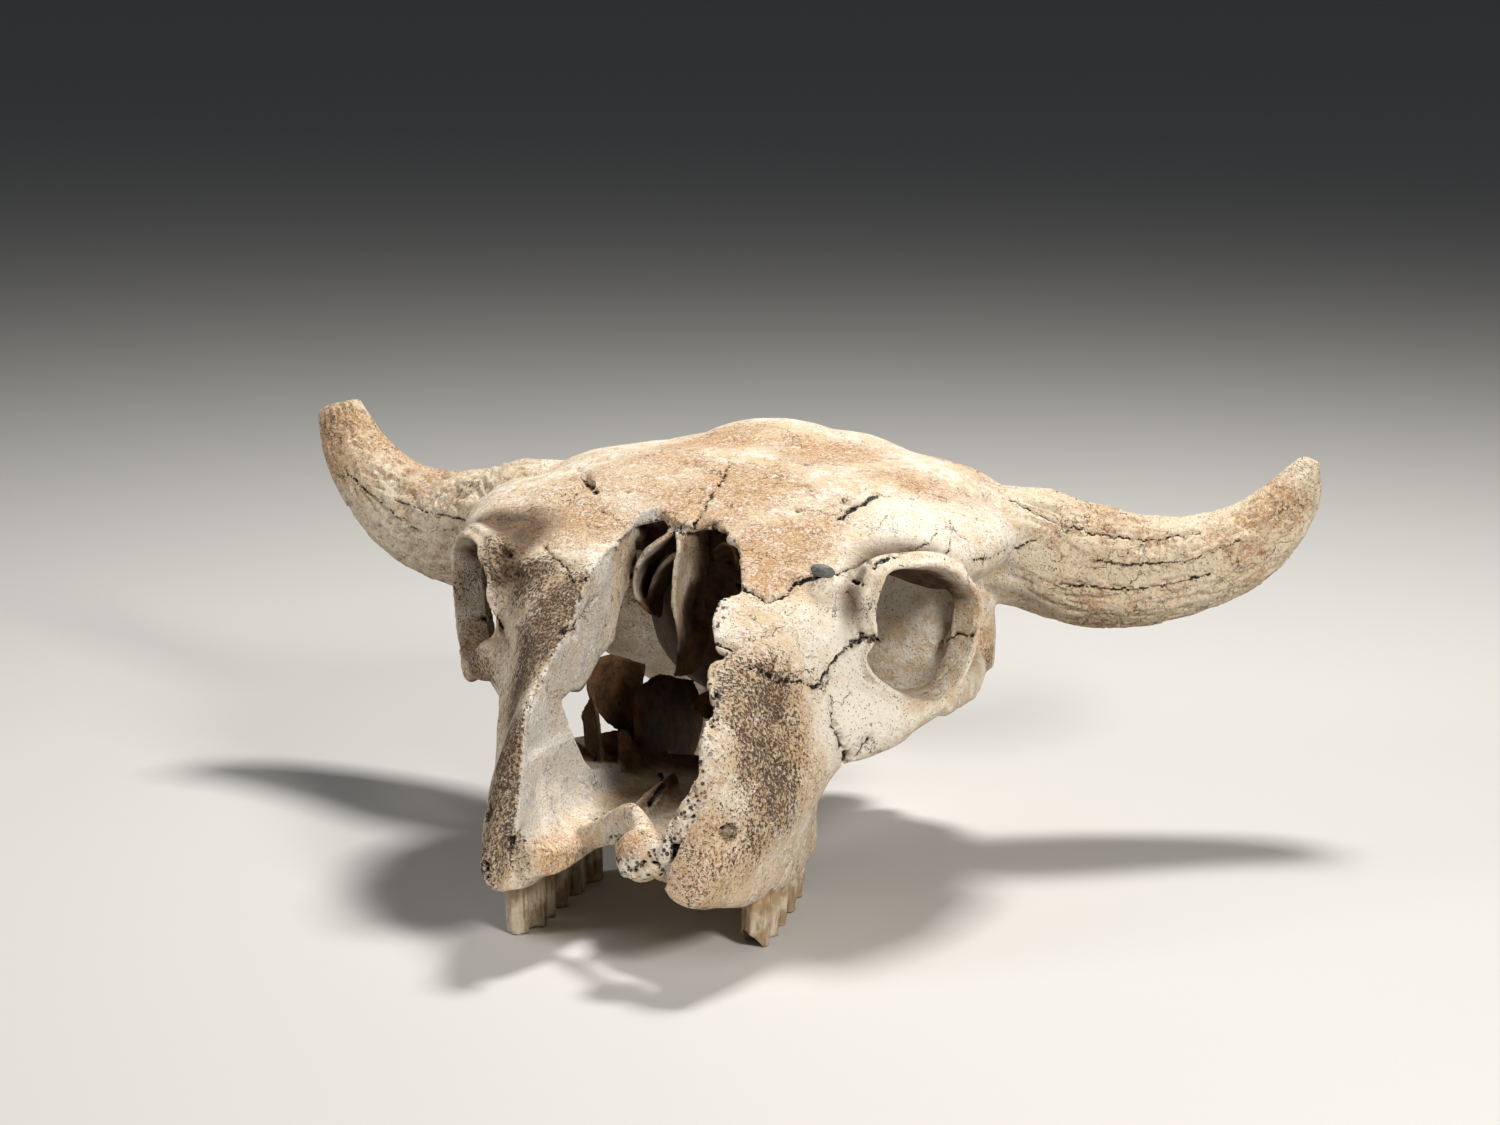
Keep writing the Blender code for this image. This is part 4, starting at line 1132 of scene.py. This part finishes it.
def carve(bone):
    """Give the smooth bone its unevenness, grooves, sponginess and cracks."""
    mesh = bone.data
    tree = surface_tree(mesh)
    cracks = crack_points(tree)
    for reach in CRACK_REACHES:
        refine_near(mesh, cracks, reach * MM)
    points, normals = skull_points(mesh), skull_normals(mesh)
    lift = 0.9 * rough_noise(points, 34.0, 11, 3) + 0.35 * value_noise(points, 9.0, 12)
    horn, _ = horn_relief(points)
    spongy = spongy_share(points)
    cells = value_noise(points, 5.0, 21) + 0.6 * value_noise(points, 2.8, 22)
    lift += spongy * (2.0 * value_noise(points, 7.5, 23) - 3.6 * ramp(0.20, 0.7, cells))
    lift += horn
    depth, _ = crack_depths(points, cracks)
    lift -= depth
    set_points(mesh, points + normals * lift[:, None])
    return cracks


def thin_out(bone):
    """Keep the triangles where the surface is busiest, and level the feet at the ground."""
    triangles = sum(len(face.vertices) - 2 for face in bone.data.polygons)
    add_modifier(bone, "DECIMATE", ratio=min(1.0, BONE_TRIANGLES / triangles))
    baked(bone)
    mesh = bone.data
    points = skull_points(mesh)
    points[:, 2] = np.maximum(points[:, 2], 0.0)
    set_points(mesh, points)


# Stains, bare places and a few spots of painted shade as pixels of the photograph, for each kind: u, v,
# radius in mm, strength
STAINS_AND_SHADE = {
    "tan": (
        (745, 490, 42, 0.9), (790, 545, 34, 0.9), (720, 440, 38, 0.8), (640, 470, 45, 0.7),
        (660, 505, 30, 0.8), (600, 520, 34, 0.6), (830, 455, 40, 0.7), (900, 480, 36, 0.6),
        (985, 505, 26, 0.7), (555, 450, 30, 0.7), (440, 470, 50, 0.6), (350, 440, 40, 0.6),
        (1240, 530, 22, 0.6), (1275, 500, 22, 0.6), (775, 575, 20, 0.8), (735, 860, 40, 0.7),
        # (908, 702) and (896, 690): a painted shadow cast by the +X orbit's rim onto the cheek
        (800, 745, 24, 0.6), (700, 800, 20, 0.6), (908, 702, 9, 1.0), (896, 690, 7, 0.9),
        # (985, 640): painted shade on the bone behind the +X orbit's rim
        (985, 640, 14, 1.0), (470, 650, 20, 1.0), (480, 675, 16, 1.0), (700, 640, 10, 0.5),
        (620, 850, 16, 0.8), (560, 850, 24, 0.7), (610, 800, 22, 0.8),
    ),
    "speckle": (
        (755, 695, 36, 0.8), (770, 700, 20, 1.0), (765, 750, 40, 0.85), (775, 790, 32, 0.9),
        (740, 690, 26, 0.6), (742, 735, 14, 0.9), (745, 770, 14, 0.9), (760, 830, 24, 0.7),
        (725, 850, 34, 0.35), (700, 870, 24, 0.3), (560, 600, 32, 1.0), (540, 640, 32, 1.0),
        (520, 690, 32, 1.0), (505, 750, 30, 1.0), (495, 800, 30, 0.9), (490, 850, 30, 0.8),
        (580, 610, 20, 0.8), (530, 770, 12, 0.7), (470, 655, 22, 0.8), (484, 672, 18, 0.8),
        # (990, 660): painted shade on the bone behind the +X orbit's rim
        (990, 660, 12, 0.7), (455, 590, 16, 0.6), (500, 560, 20, 0.8), (530, 580, 22, 0.9),
    ),
    "white": (
        (845, 640, 34, 0.9), (860, 720, 40, 1.0), (900, 580, 26, 0.7), (920, 520, 40, 0.8),
        (1010, 530, 40, 0.7), (640, 540, 24, 1.0), (715, 530, 18, 1.0), (738, 560, 16, 0.9),
        (722, 635, 16, 0.6), (860, 790, 30, 0.7), (545, 800, 14, 1.0), (556, 787, 9, 1.0),
        (600, 560, 10, 0.8),
    ),
    "grey": (
        (540, 720, 34, 0.9), (548, 780, 36, 0.8), (570, 660, 26, 0.9), (800, 860, 24, 0.6),
        (500, 600, 16, 0.5), (487, 600, 12, 0.9), (484, 575, 10, 0.6),
    ),
}


def stain_and_shade_masks(points, tree):
    """A mask from 0 to 1 for each kind of stain, with a few spots of painted shade among the tan and speckle.
    """
    masks = {kind: np.zeros(len(points)) for kind in STAINS_AND_SHADE}
    wander = points + 9 * np.column_stack([rough_noise(points, 16.0, 60 + k, 3) for k in range(3)])
    for kind, stains in STAINS_AND_SHADE.items():
        for u, v, radius, strength in stains:
            hit = tree.ray_cast(*sight_line(u, v))[0]
            if hit:
                away = np.linalg.norm(wander - np.array(hit), axis=1) / radius
                masks[kind] = np.maximum(masks[kind], strength * ramp(1.35, 0.35, away))
    return masks


def hollowness(mesh, points, rounds=6):
    """How far each vertex lies below its neighbours, smoothed: above 0 in dents, below 0 on edges."""
    ends = np.empty(2 * len(mesh.edges), np.int32)
    mesh.edges.foreach_get("vertices", ends)
    ends = ends.reshape(-1, 2)
    count = np.bincount(ends.ravel(), minlength=len(points)).astype(float)
    smooth = points.copy()
    for _ in range(rounds):
        total = np.zeros_like(smooth)
        np.add.at(total, ends[:, 0], smooth[ends[:, 1]])
        np.add.at(total, ends[:, 1], smooth[ends[:, 0]])
        smooth = 0.5 * smooth + 0.5 * total / count[:, None]
    return ((smooth - points) * skull_normals(mesh)).sum(1)


def inner_wall(points, normals):
    """1 on the -X wall of the nose, inside its broken edge."""
    edge_y, edge_x = zip(*sorted((y, x) for x, y in NOSE_EDGE[:11]))
    within = points[:, 0] - np.interp(points[:, 1], edge_y, edge_x)
    near_edge = ramp(-1.5, 0.5, within) * ramp(20, 10, within)
    return near_edge * ramp(0.05, 0.35, normals[:, 0]) * ramp(64, 74, points[:, 2])


def enclosed(points):
    """How far each point lies behind the broken edge of the nose or inside an orbit, from 0 to 1: where the
    bone's material paints shade.
    """
    x, y, z = points.T
    roof_y, roof_z = zip(*NOSE_ROOF)
    below = ramp(1.0, 6.0, np.interp(y, roof_y, roof_z) - z)
    wall_back = np.interp(z, *zip(*WALL_BACK))
    deep_right = ramp(0, 9, y - wall_back) * ramp(-96, -84, x) * ramp(0, -4, x)
    across = ramp(-14, -2, x) * ramp(46, 42, x) * ramp(-118, -96, y)
    nose = below * np.maximum(deep_right * ramp(-74, -66, x), across) * ramp(66, 74, z)
    nose = np.maximum(nose, blob(points, *OPEN_SINUS) * ramp(-98, -88, x))
    nose = np.maximum(nose, ramp(44, 60, y) * ramp(90, 76, np.abs(x)) * below)
    nose *= ramp(165, 130, y)
    # Painted shade on the floor of the nose
    low = blob(points, *NOSE_FLOOR) * 0.6
    eye = np.zeros(len(points))
    for side in (1, -1):
        _, middle, axis = orbit_points(side)
        away = points - np.array(middle)
        depth = -away @ np.array(axis)
        flat = np.linalg.norm(away + depth[:, None] * np.array(axis), axis=1)
        # Painted shade in each orbit: strongest under its roof, with a second band further in
        roof_side = ramp(-6, 22, away[:, 2])
        eye = np.maximum(eye, ramp(3, 10, depth) * ramp(56, 46, flat) * np.maximum(0.9 * roof_side, 0.12))
        eye = np.maximum(eye, ramp(26, 44, depth) * ramp(56, 40, flat) * ramp(150, 120, depth) * 0.7)
    return np.clip(np.maximum(np.maximum(nose, low), eye), 0, 1)


def paint(bone, cracks):
    """Store the masks that the bone's material reads, as two colour attributes, painted shade among them."""
    mesh = bone.data
    points = skull_points(mesh)
    stains = stain_and_shade_masks(points, surface_tree(mesh))
    _, dark = crack_depths(points, sunken(cracks))
    _, horn = horn_relief(points)
    spongy = spongy_share(points)
    dents = hollowness(mesh, points)
    inside = enclosed(points)
    # Painted shade on faces that look down, above the teeth
    under = ramp(0.15, 0.7, -skull_normals(mesh)[:, 2]) * ramp(60, 120, points[:, 2])
    wall = inner_wall(points, skull_normals(mesh))
    speckle = stains["speckle"] * (1 - wall)
    tan = stains["tan"] * (1 - 0.7 * wall)
    grey = np.maximum(stains["grey"] * (0.3 + 0.7 * wall), 0.85 * wall)
    # Painted shade in the surface's hollows, added to the cracks' darkness
    dark = dark + ramp(0.55, 1.5, dents) * (1 - 0.6 * horn)
    store_masks(mesh, "marks", np.column_stack([dark, speckle, tan, grey]))
    # The last channel is painted shade: inside the nose and orbits, and under overhangs
    store_masks(mesh, "kinds", np.column_stack([stains["white"], spongy, horn, inside + 0.3 * under]))


class Nodes:
    """Short ways to add and join shader nodes."""

    def __init__(self, name):
        self.material = bpy.data.materials.new(name)
        self.material.use_nodes = True
        self.tree = self.material.node_tree
        self.shader = self.tree.nodes["Principled BSDF"]

    def add(self, kind, **inputs):
        node = self.tree.nodes.new(kind)
        for key, value in inputs.items():
            self.feed(node.inputs[key], value)
        return node

    def feed(self, socket, value):
        """Link an output to a socket, or set the socket's own value. A colour comes without alpha."""
        if isinstance(value, bpy.types.NodeSocket):
            self.tree.links.new(value, socket)
        elif socket.type == "RGBA":
            socket.default_value = (*value, 1.0)
        else:
            socket.default_value = value

    def math(self, kind, first, second=0.0, clamp=False):
        node = self.tree.nodes.new("ShaderNodeMath")
        node.operation = kind
        node.use_clamp = clamp
        self.feed(node.inputs[0], first)
        self.feed(node.inputs[1], second)
        return node.outputs[0]

    def plus(self, first, second):
        return self.math("ADD", first, second)

    def minus(self, first, second):
        return self.math("SUBTRACT", first, second)

    def times(self, first, second, clamp=False):
        return self.math("MULTIPLY", first, second, clamp)

    def mix(self, share, first, second):
        node = self.tree.nodes.new("ShaderNodeMix")
        node.data_type = "RGBA"
        node.clamp_factor = True
        for socket, value in ((0, share), (6, first), (7, second)):
            self.feed(node.inputs[socket], value)
        return node.outputs[2]

    def span(self, value, low, high, out_low=0.0, out_high=1.0):
        node = self.tree.nodes.new("ShaderNodeMapRange")
        node.interpolation_type = "SMOOTHSTEP"
        self.feed(node.inputs["Value"], value)
        for key, number in (("From Min", low), ("From Max", high), ("To Min", out_low), ("To Max", out_high)):
            node.inputs[key].default_value = number
        return node.outputs["Result"]

    def noise(self, vector, per_metre, detail, roughness):
        inputs = {"Vector": vector, "Scale": per_metre, "Detail": detail, "Roughness": roughness}
        return self.add("ShaderNodeTexNoise", **inputs).outputs["Fac"]

    def cells(self, vector, per_metre):
        return self.add("ShaderNodeTexVoronoi", Vector=vector, Scale=per_metre).outputs["Distance"]

    def channels(self, name):
        layer = self.tree.nodes.new("ShaderNodeVertexColor")
        layer.layer_name = name
        parts = self.tree.nodes.new("ShaderNodeSeparateColor")
        self.tree.links.new(layer.outputs["Color"], parts.inputs["Color"])
        return (*parts.outputs[:3], layer.outputs["Alpha"])

    def finished(self, colour, roughness, height, strength, distance):
        """Join up the surface, with its bumps' strength and their height in metres."""
        bump = self.add("ShaderNodeBump", Height=height, Strength=strength, Distance=distance)
        looks = {"Base Color": colour, "Roughness": roughness, "Normal": bump.outputs["Normal"]}
        for key, value in looks.items():
            self.feed(self.shader.inputs[key], value)
        return self.material


# Colours of the bone, then of the teeth, the chip and the floor
CREAM = (0.74, 0.58, 0.39)
CHALK = (0.92, 0.86, 0.74)
# Tan of the stains, also used for painted shadow by the +X orbit's rim
TAN_STAIN_AND_SHADE = (0.47, 0.235, 0.085)
RUST = (0.27, 0.115, 0.035)
BROWN = (0.075, 0.034, 0.014)
# Dark brown of cracks and pores, also used for painted shade in hollows
CRACK_AND_SHADE_BROWN = (0.010, 0.006, 0.003)
COOL_GREY = (0.60, 0.58, 0.55)
# Next two: painted shade inside the nose and orbits and under overhangs
INNER_SHADE_BROWN = (0.17, 0.090, 0.040)
DEEP_SHADE_BROWN = (0.040, 0.020, 0.009)
PITTED = (0.35, 0.205, 0.10)
HORN_CREAM = (0.78, 0.66, 0.48)
HORN_SHADE = (0.30, 0.19, 0.11)
DOT_GREY = (0.13, 0.11, 0.095)
IVORY = (0.62, 0.53, 0.40)
IVORY_SHADE = (0.33, 0.23, 0.13)
STREAK_BROWN = (0.17, 0.095, 0.042)
# Painted shade in the teeth's flutes
FLUTE_SHADE_BROWN = (0.07, 0.035, 0.015)
GUM_TAN = (0.42, 0.26, 0.12)
STONE = (0.075, 0.078, 0.08)
STONE_SCRATCH = (0.21, 0.21, 0.20)
FLOOR_PALE = (0.60, 0.59, 0.57)


def weathered_bone_and_painted_shade():
    """Chalky bone: cream, with tan and speckled stains, pits, fine hairlines, dark cracks and painted shade.
    """
    n = Nodes("weathered_bone_detailed")
    spot = n.add("ShaderNodeTexCoord").outputs["Object"]
    dark, speckle, tan, grey = n.channels("marks")
    white, spongy, horn, inside = n.channels("kinds")
    wide = n.noise(spot, 16, 5, 0.62)
    middle = n.noise(spot, 75, 6, 0.70)
    fine = n.noise(spot, 360, 4, 0.72)
    grain = n.noise(spot, 950, 2, 0.6)
    small_pits = n.cells(spot, 540)
    flakes = n.noise(spot, 190, 5, 0.70)
    spots = n.noise(spot, 520, 4, 0.75)

    colour = n.mix(n.span(middle, 0.42, 0.58), CREAM, CHALK)
    colour = n.mix(n.times(horn, 0.7), colour, HORN_CREAM)
    stain_and_shade_field = n.plus(n.times(middle, 0.55), n.times(flakes, 0.45))
    stain_and_shade_field = n.plus(stain_and_shade_field, n.times(tan, 0.16))
    stain_and_shade_field = n.plus(stain_and_shade_field, n.times(wide, 0.5))
    stain_and_shade_share = n.times(n.span(stain_and_shade_field, 0.72, 0.88), n.span(spots, 0.38, 0.56, 0.35, 1.0))
    # Tan stains; the tan mask also brings painted shadow by the +X orbit's rim here
    colour = n.mix(n.times(stain_and_shade_share, 0.85), colour, TAN_STAIN_AND_SHADE)
    rust = n.times(n.span(spots, 0.56, 0.64), n.span(stain_and_shade_field, 0.78, 0.94))
    colour = n.mix(n.times(rust, 0.75), colour, RUST)
    grey_wash = n.times(grey, n.span(middle, 0.25, 0.6, 0.6, 1.0))
    colour = n.mix(grey_wash, colour, COOL_GREY)
    bare = n.times(white, n.span(middle, 0.30, 0.50, 0.45, 0.95))
    bare = n.math("MAXIMUM", bare, n.times(n.span(flakes, 0.56, 0.66), 0.7))
    bare = n.math("MAXIMUM", bare, n.times(spongy, n.span(middle, 0.42, 0.56, 0.15, 0.8)))
    colour = n.mix(bare, colour, CHALK)
    colour = n.mix(n.times(speckle, n.span(flakes, 0.35, 0.60, 0.35, 0.85)), colour, PITTED)
    dot_field = n.plus(n.plus(spots, n.times(speckle, 0.20)), n.times(middle, 0.25))
    dots = n.times(n.span(dot_field, 0.765, 0.84), n.times(speckle, 4.0, True))
    colour = n.mix(n.times(dots, 0.92), colour, BROWN)
    light_dots = n.times(n.span(grain, 0.56, 0.66), n.times(speckle, 0.6))
    colour = n.mix(light_dots, colour, CREAM)
    grey_dots = n.times(n.span(n.plus(spots, n.times(middle, 0.3)), 0.73, 0.80), grey)
    colour = n.mix(n.times(grey_dots, 0.6), colour, DOT_GREY)
    lines = n.times(horn, n.span(fine, 0.48, 0.64))
    colour = n.mix(n.times(lines, 0.3), colour, HORN_SHADE)
    # Painted shade inside the nose and orbits and under overhangs, from the last channel of kinds
    painted_shade_brown = n.mix(n.span(middle, 0.35, 0.65), DEEP_SHADE_BROWN, INNER_SHADE_BROWN)
    colour = n.mix(inside, colour, painted_shade_brown)
    freckles = n.span(n.minus(small_pits, n.times(fine, 0.42)), 0.02, -0.10)
    colour = n.mix(n.times(freckles, 0.75), colour, BROWN)
    pore_field = n.minus(n.cells(spot, 290), n.times(middle, 0.25))
    holes = n.times(spongy, n.span(pore_field, 0.26, 0.08))
    colour = n.mix(n.times(holes, 0.9), colour, CRACK_AND_SHADE_BROWN)
    crossing = n.math("ABSOLUTE", n.minus(n.noise(spot, 34, 5, 0.55), 0.5))
    hairs = n.times(n.span(crossing, 0.0045, 0.0015), n.span(wide, 0.46, 0.56))
    colour = n.mix(n.times(hairs, 0.8), colour, BROWN)
    # Dark cracks, and painted shade in the hollows
    broken = n.times(n.span(dark, 0.2, 0.6), n.span(spots, 0.34, 0.50, 0.6, 1.0))
    colour = n.mix(broken, colour, CRACK_AND_SHADE_BROWN)
    n.shader.inputs["Specular IOR Level"].default_value = 0.3

    height = n.plus(n.times(fine, 0.75), n.times(grain, 0.25))
    height = n.plus(height, n.times(middle, 1.1))
    height = n.minus(height, n.times(dots, 0.6))
    height = n.minus(height, n.times(freckles, 0.5))
    height = n.minus(height, n.times(holes, 1.4))
    height = n.minus(height, hairs)
    return n.finished(colour, n.span(middle, 0.3, 0.7, 0.68, 0.92), height, 1.0, 0.0024)


def tooth_surface():
    """Worn enamel: ivory and grey, with painted shade in the flutes and brown near the gum."""
    n = Nodes("tooth_enamel_detailed")
    spot = n.add("ShaderNodeTexCoord").outputs["Object"]
    stretch = n.add("ShaderNodeMapping", Vector=spot, Scale=(1.0, 1.0, 0.18))
    streaks = n.noise(stretch.outputs["Vector"], 320, 4, 0.6)
    middle = n.noise(spot, 70, 5, 0.6)
    height_up = n.add("ShaderNodeSeparateXYZ", Vector=spot).outputs["Z"]
    dark, flute = n.channels("marks")[:2]
    colour = n.mix(n.span(middle, 0.40, 0.60), IVORY_SHADE, IVORY)
    colour = n.mix(n.times(n.span(streaks, 0.50, 0.64), 0.7), colour, STREAK_BROWN)
    # Painted shade in the flutes between the ribs
    colour = n.mix(n.times(flute, 0.9), colour, FLUTE_SHADE_BROWN)
    colour = n.mix(n.span(height_up, 0.012, 0.034, 0.0, 0.65), colour, GUM_TAN)
    colour = n.mix(dark, colour, CRACK_AND_SHADE_BROWN)
    return n.finished(colour, n.span(middle, 0.3, 0.7, 0.38, 0.62), streaks, 0.5, 0.0006)


def chip_surface():
    """Dull dark grey stone with fine pale scratches."""
    n = Nodes("grey_stone_detailed")
    spot = n.add("ShaderNodeTexCoord").outputs["Object"]
    stretch = n.add("ShaderNodeMapping", Vector=spot, Scale=(1.0, 1.0, 4.0))
    scratches = n.noise(stretch.outputs["Vector"], 420, 3, 0.6)
    colour = n.mix(n.span(scratches, 0.45, 0.62), STONE, STONE_SCRATCH)
    return n.finished(colour, n.span(scratches, 0.3, 0.7, 0.45, 0.7), scratches, 1.0, 0.0004)


def detailed_tooth(name, side, y, x, length, width, first, collection):
    """A cheek tooth with ribbed walls and a ridged worn end that keeps its solid's reach."""
    turns = 2 * np.pi * np.arange(TOOTH_SIDES) / TOOTH_SIDES
    rings = []
    for k in range(TOOTH_RINGS + 1):
        z = (TOOTH_TOP - 1.0) * k / TOOTH_RINGS
        share = 0.95 + 0.05 * min(z / 8, 1) - 0.25 * max(0.0, (z - 32) / (TOOTH_TOP - 32))
        flute = 1 + 0.085 * np.cos(4 * turns) + 0.03 * np.cos(11 * turns + y) - 0.02
        places = np.column_stack([np.cos(turns) * 6, np.sin(turns) * 6, np.full(TOOTH_SIDES, z / 4 + y)])
        flute = flute + 0.035 * value_noise(places, 1.6, 70)
        across = 0.5 * width * share * flute * np.cos(turns)
        along = 0.5 * length * share * flute * np.sin(turns)
        chip = (CHIPPED_RISE * np.maximum(0, -np.sin(turns + 0.6)) if first else 0.0) * max(0.0, 1 - z / 12)
        wear = 0.9 * value_noise(np.column_stack([across, along, across * 0 + y]), 4.0, 71)
        height = np.maximum(z + chip + (np.maximum(wear, 0) if k == 0 else 0.0), 0.0) + 0 * turns
        rings.append(np.column_stack([side * (x + 0.05 * z + across), y + along, height]).tolist())
    tooth = skin(name, rings, collection)
    points = skull_points(tooth.data)
    dents = hollowness(tooth.data, points, 10)
    gum = ramp(27, 31, points[:, 2])
    # The second mask is painted shade in the hollows of the flutes
    masks = np.column_stack([0.5 * gum, ramp(0.0, 0.35, dents), 0 * gum, 0 * gum])
    store_masks(tooth.data, "marks", masks)
    return tooth


def detailed_chip(collection):
    """The wedged chip: the solid's lens with flaked sides."""
    chip = ball("chip", CHIP_PLACE, CHIP_RADII, collection, CHIP_TURN)
    add_modifier(chip, "SUBSURF", levels=2, render_levels=2)
    baked(chip)
    points, normals = skull_points(chip.data), skull_normals(chip.data)
    set_points(chip.data, points + normals * (0.5 * rough_noise(points, 4.0, 80, 2) - 0.35)[:, None])
    return chip


def dress(piece, name, node, material):
    """Give a piece its place in the frame, its name and look, and hide the CAD part of the node given."""
    piece.name = name
    piece.data.transform(Matrix.Translation(Vector((-BOX_MIDDLE[0], -BOX_MIDDLE[1], 0.0)) * MM))
    piece.data.materials.clear()
    piece.data.materials.append(material)
    piece.data.shade_smooth()
    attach(piece, "root")
    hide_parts(node)


def build_stage():
    """A plain pale floor."""
    bpy.ops.mesh.primitive_plane_add(size=FLOOR_SIZE)
    floor = bpy.context.object
    floor.name = "floor"
    floor.location.z = -FLOOR_GAP
    n = Nodes("pale_floor")
    n.feed(n.shader.inputs["Base Color"], FLOOR_PALE)
    n.shader.inputs["Roughness"].default_value = 0.8
    floor.data.materials.append(n.material)


def add_area(name, place_m, aim, size, watts, colour):
    """A square soft light."""
    data = bpy.data.lights.new(name, "AREA")
    data.size = size
    data.energy = watts
    data.color = colour
    light = bpy.data.objects.new(name, data)
    light.location = place_m
    light.rotation_euler = (Vector(aim) - Vector(place_m)).to_track_quat("-Z", "Y").to_euler()
    bpy.context.scene.collection.objects.link(light)


def build_lights():
    """A key from high behind, softer light from both sides in front, and a dim sky."""
    for name, light in LIGHTS.items():
        add_area(name, *light)
    world = bpy.data.worlds.new("studio")
    world.use_nodes = True
    sky = world.node_tree.nodes["Background"]
    sky.inputs["Color"].default_value = (*SKY_COLOUR, 1.0)
    sky.inputs["Strength"].default_value = SKY_STRENGTH
    bpy.context.scene.world = world


def build_camera():
    """The photograph's camera."""
    data = bpy.data.cameras.new("camera")
    data.sensor_width = SENSOR_WIDTH
    data.lens = FOCAL_PIXELS * SENSOR_WIDTH / PICTURE[0]
    data.clip_end = 50
    camera = bpy.data.objects.new("camera", data)
    x, y, z = CAMERA_PLACE
    camera.location = Vector((x - BOX_MIDDLE[0], y - BOX_MIDDLE[1], z)) * MM
    camera.rotation_euler = (math.radians(90 - CAMERA_PITCH), 0.0, math.radians(CAMERA_YAW))
    bpy.context.scene.collection.objects.link(camera)
    bpy.context.scene.camera = camera


def main():
    """Build the pieces, dress them and set the stage."""
    scene = bpy.context.scene
    scene.view_settings.view_transform = "Standard"
    model = bpy.data.collections.new("skull_detail")
    staging = bpy.data.collections.new("staging")
    for collection in (model, staging):
        scene.collection.children.link(collection)
    bone = refined_bone(staging, model)
    cracks = carve(bone)
    thin_out(bone)
    paint(bone, cracks)
    dress(bone, "cranium_bone", "cranium", weathered_bone_and_painted_shade())
    enamel = tooth_surface()
    for side, side_name in ((1, "left"), (-1, "right")):
        for index, (name, y, x, length, width) in enumerate(TEETH[side]):
            chipped = index == 0 and side == 1
            tooth = detailed_tooth(name, side, y, x, length, width, chipped, model)
            dress(tooth, f"{side_name}_{name}_tooth", f"{side_name}_{name}", enamel)
    dress(detailed_chip(model), "chip_stone", "lodged_chip", chip_surface())
    build_stage()
    build_lights()
    build_camera()


main()
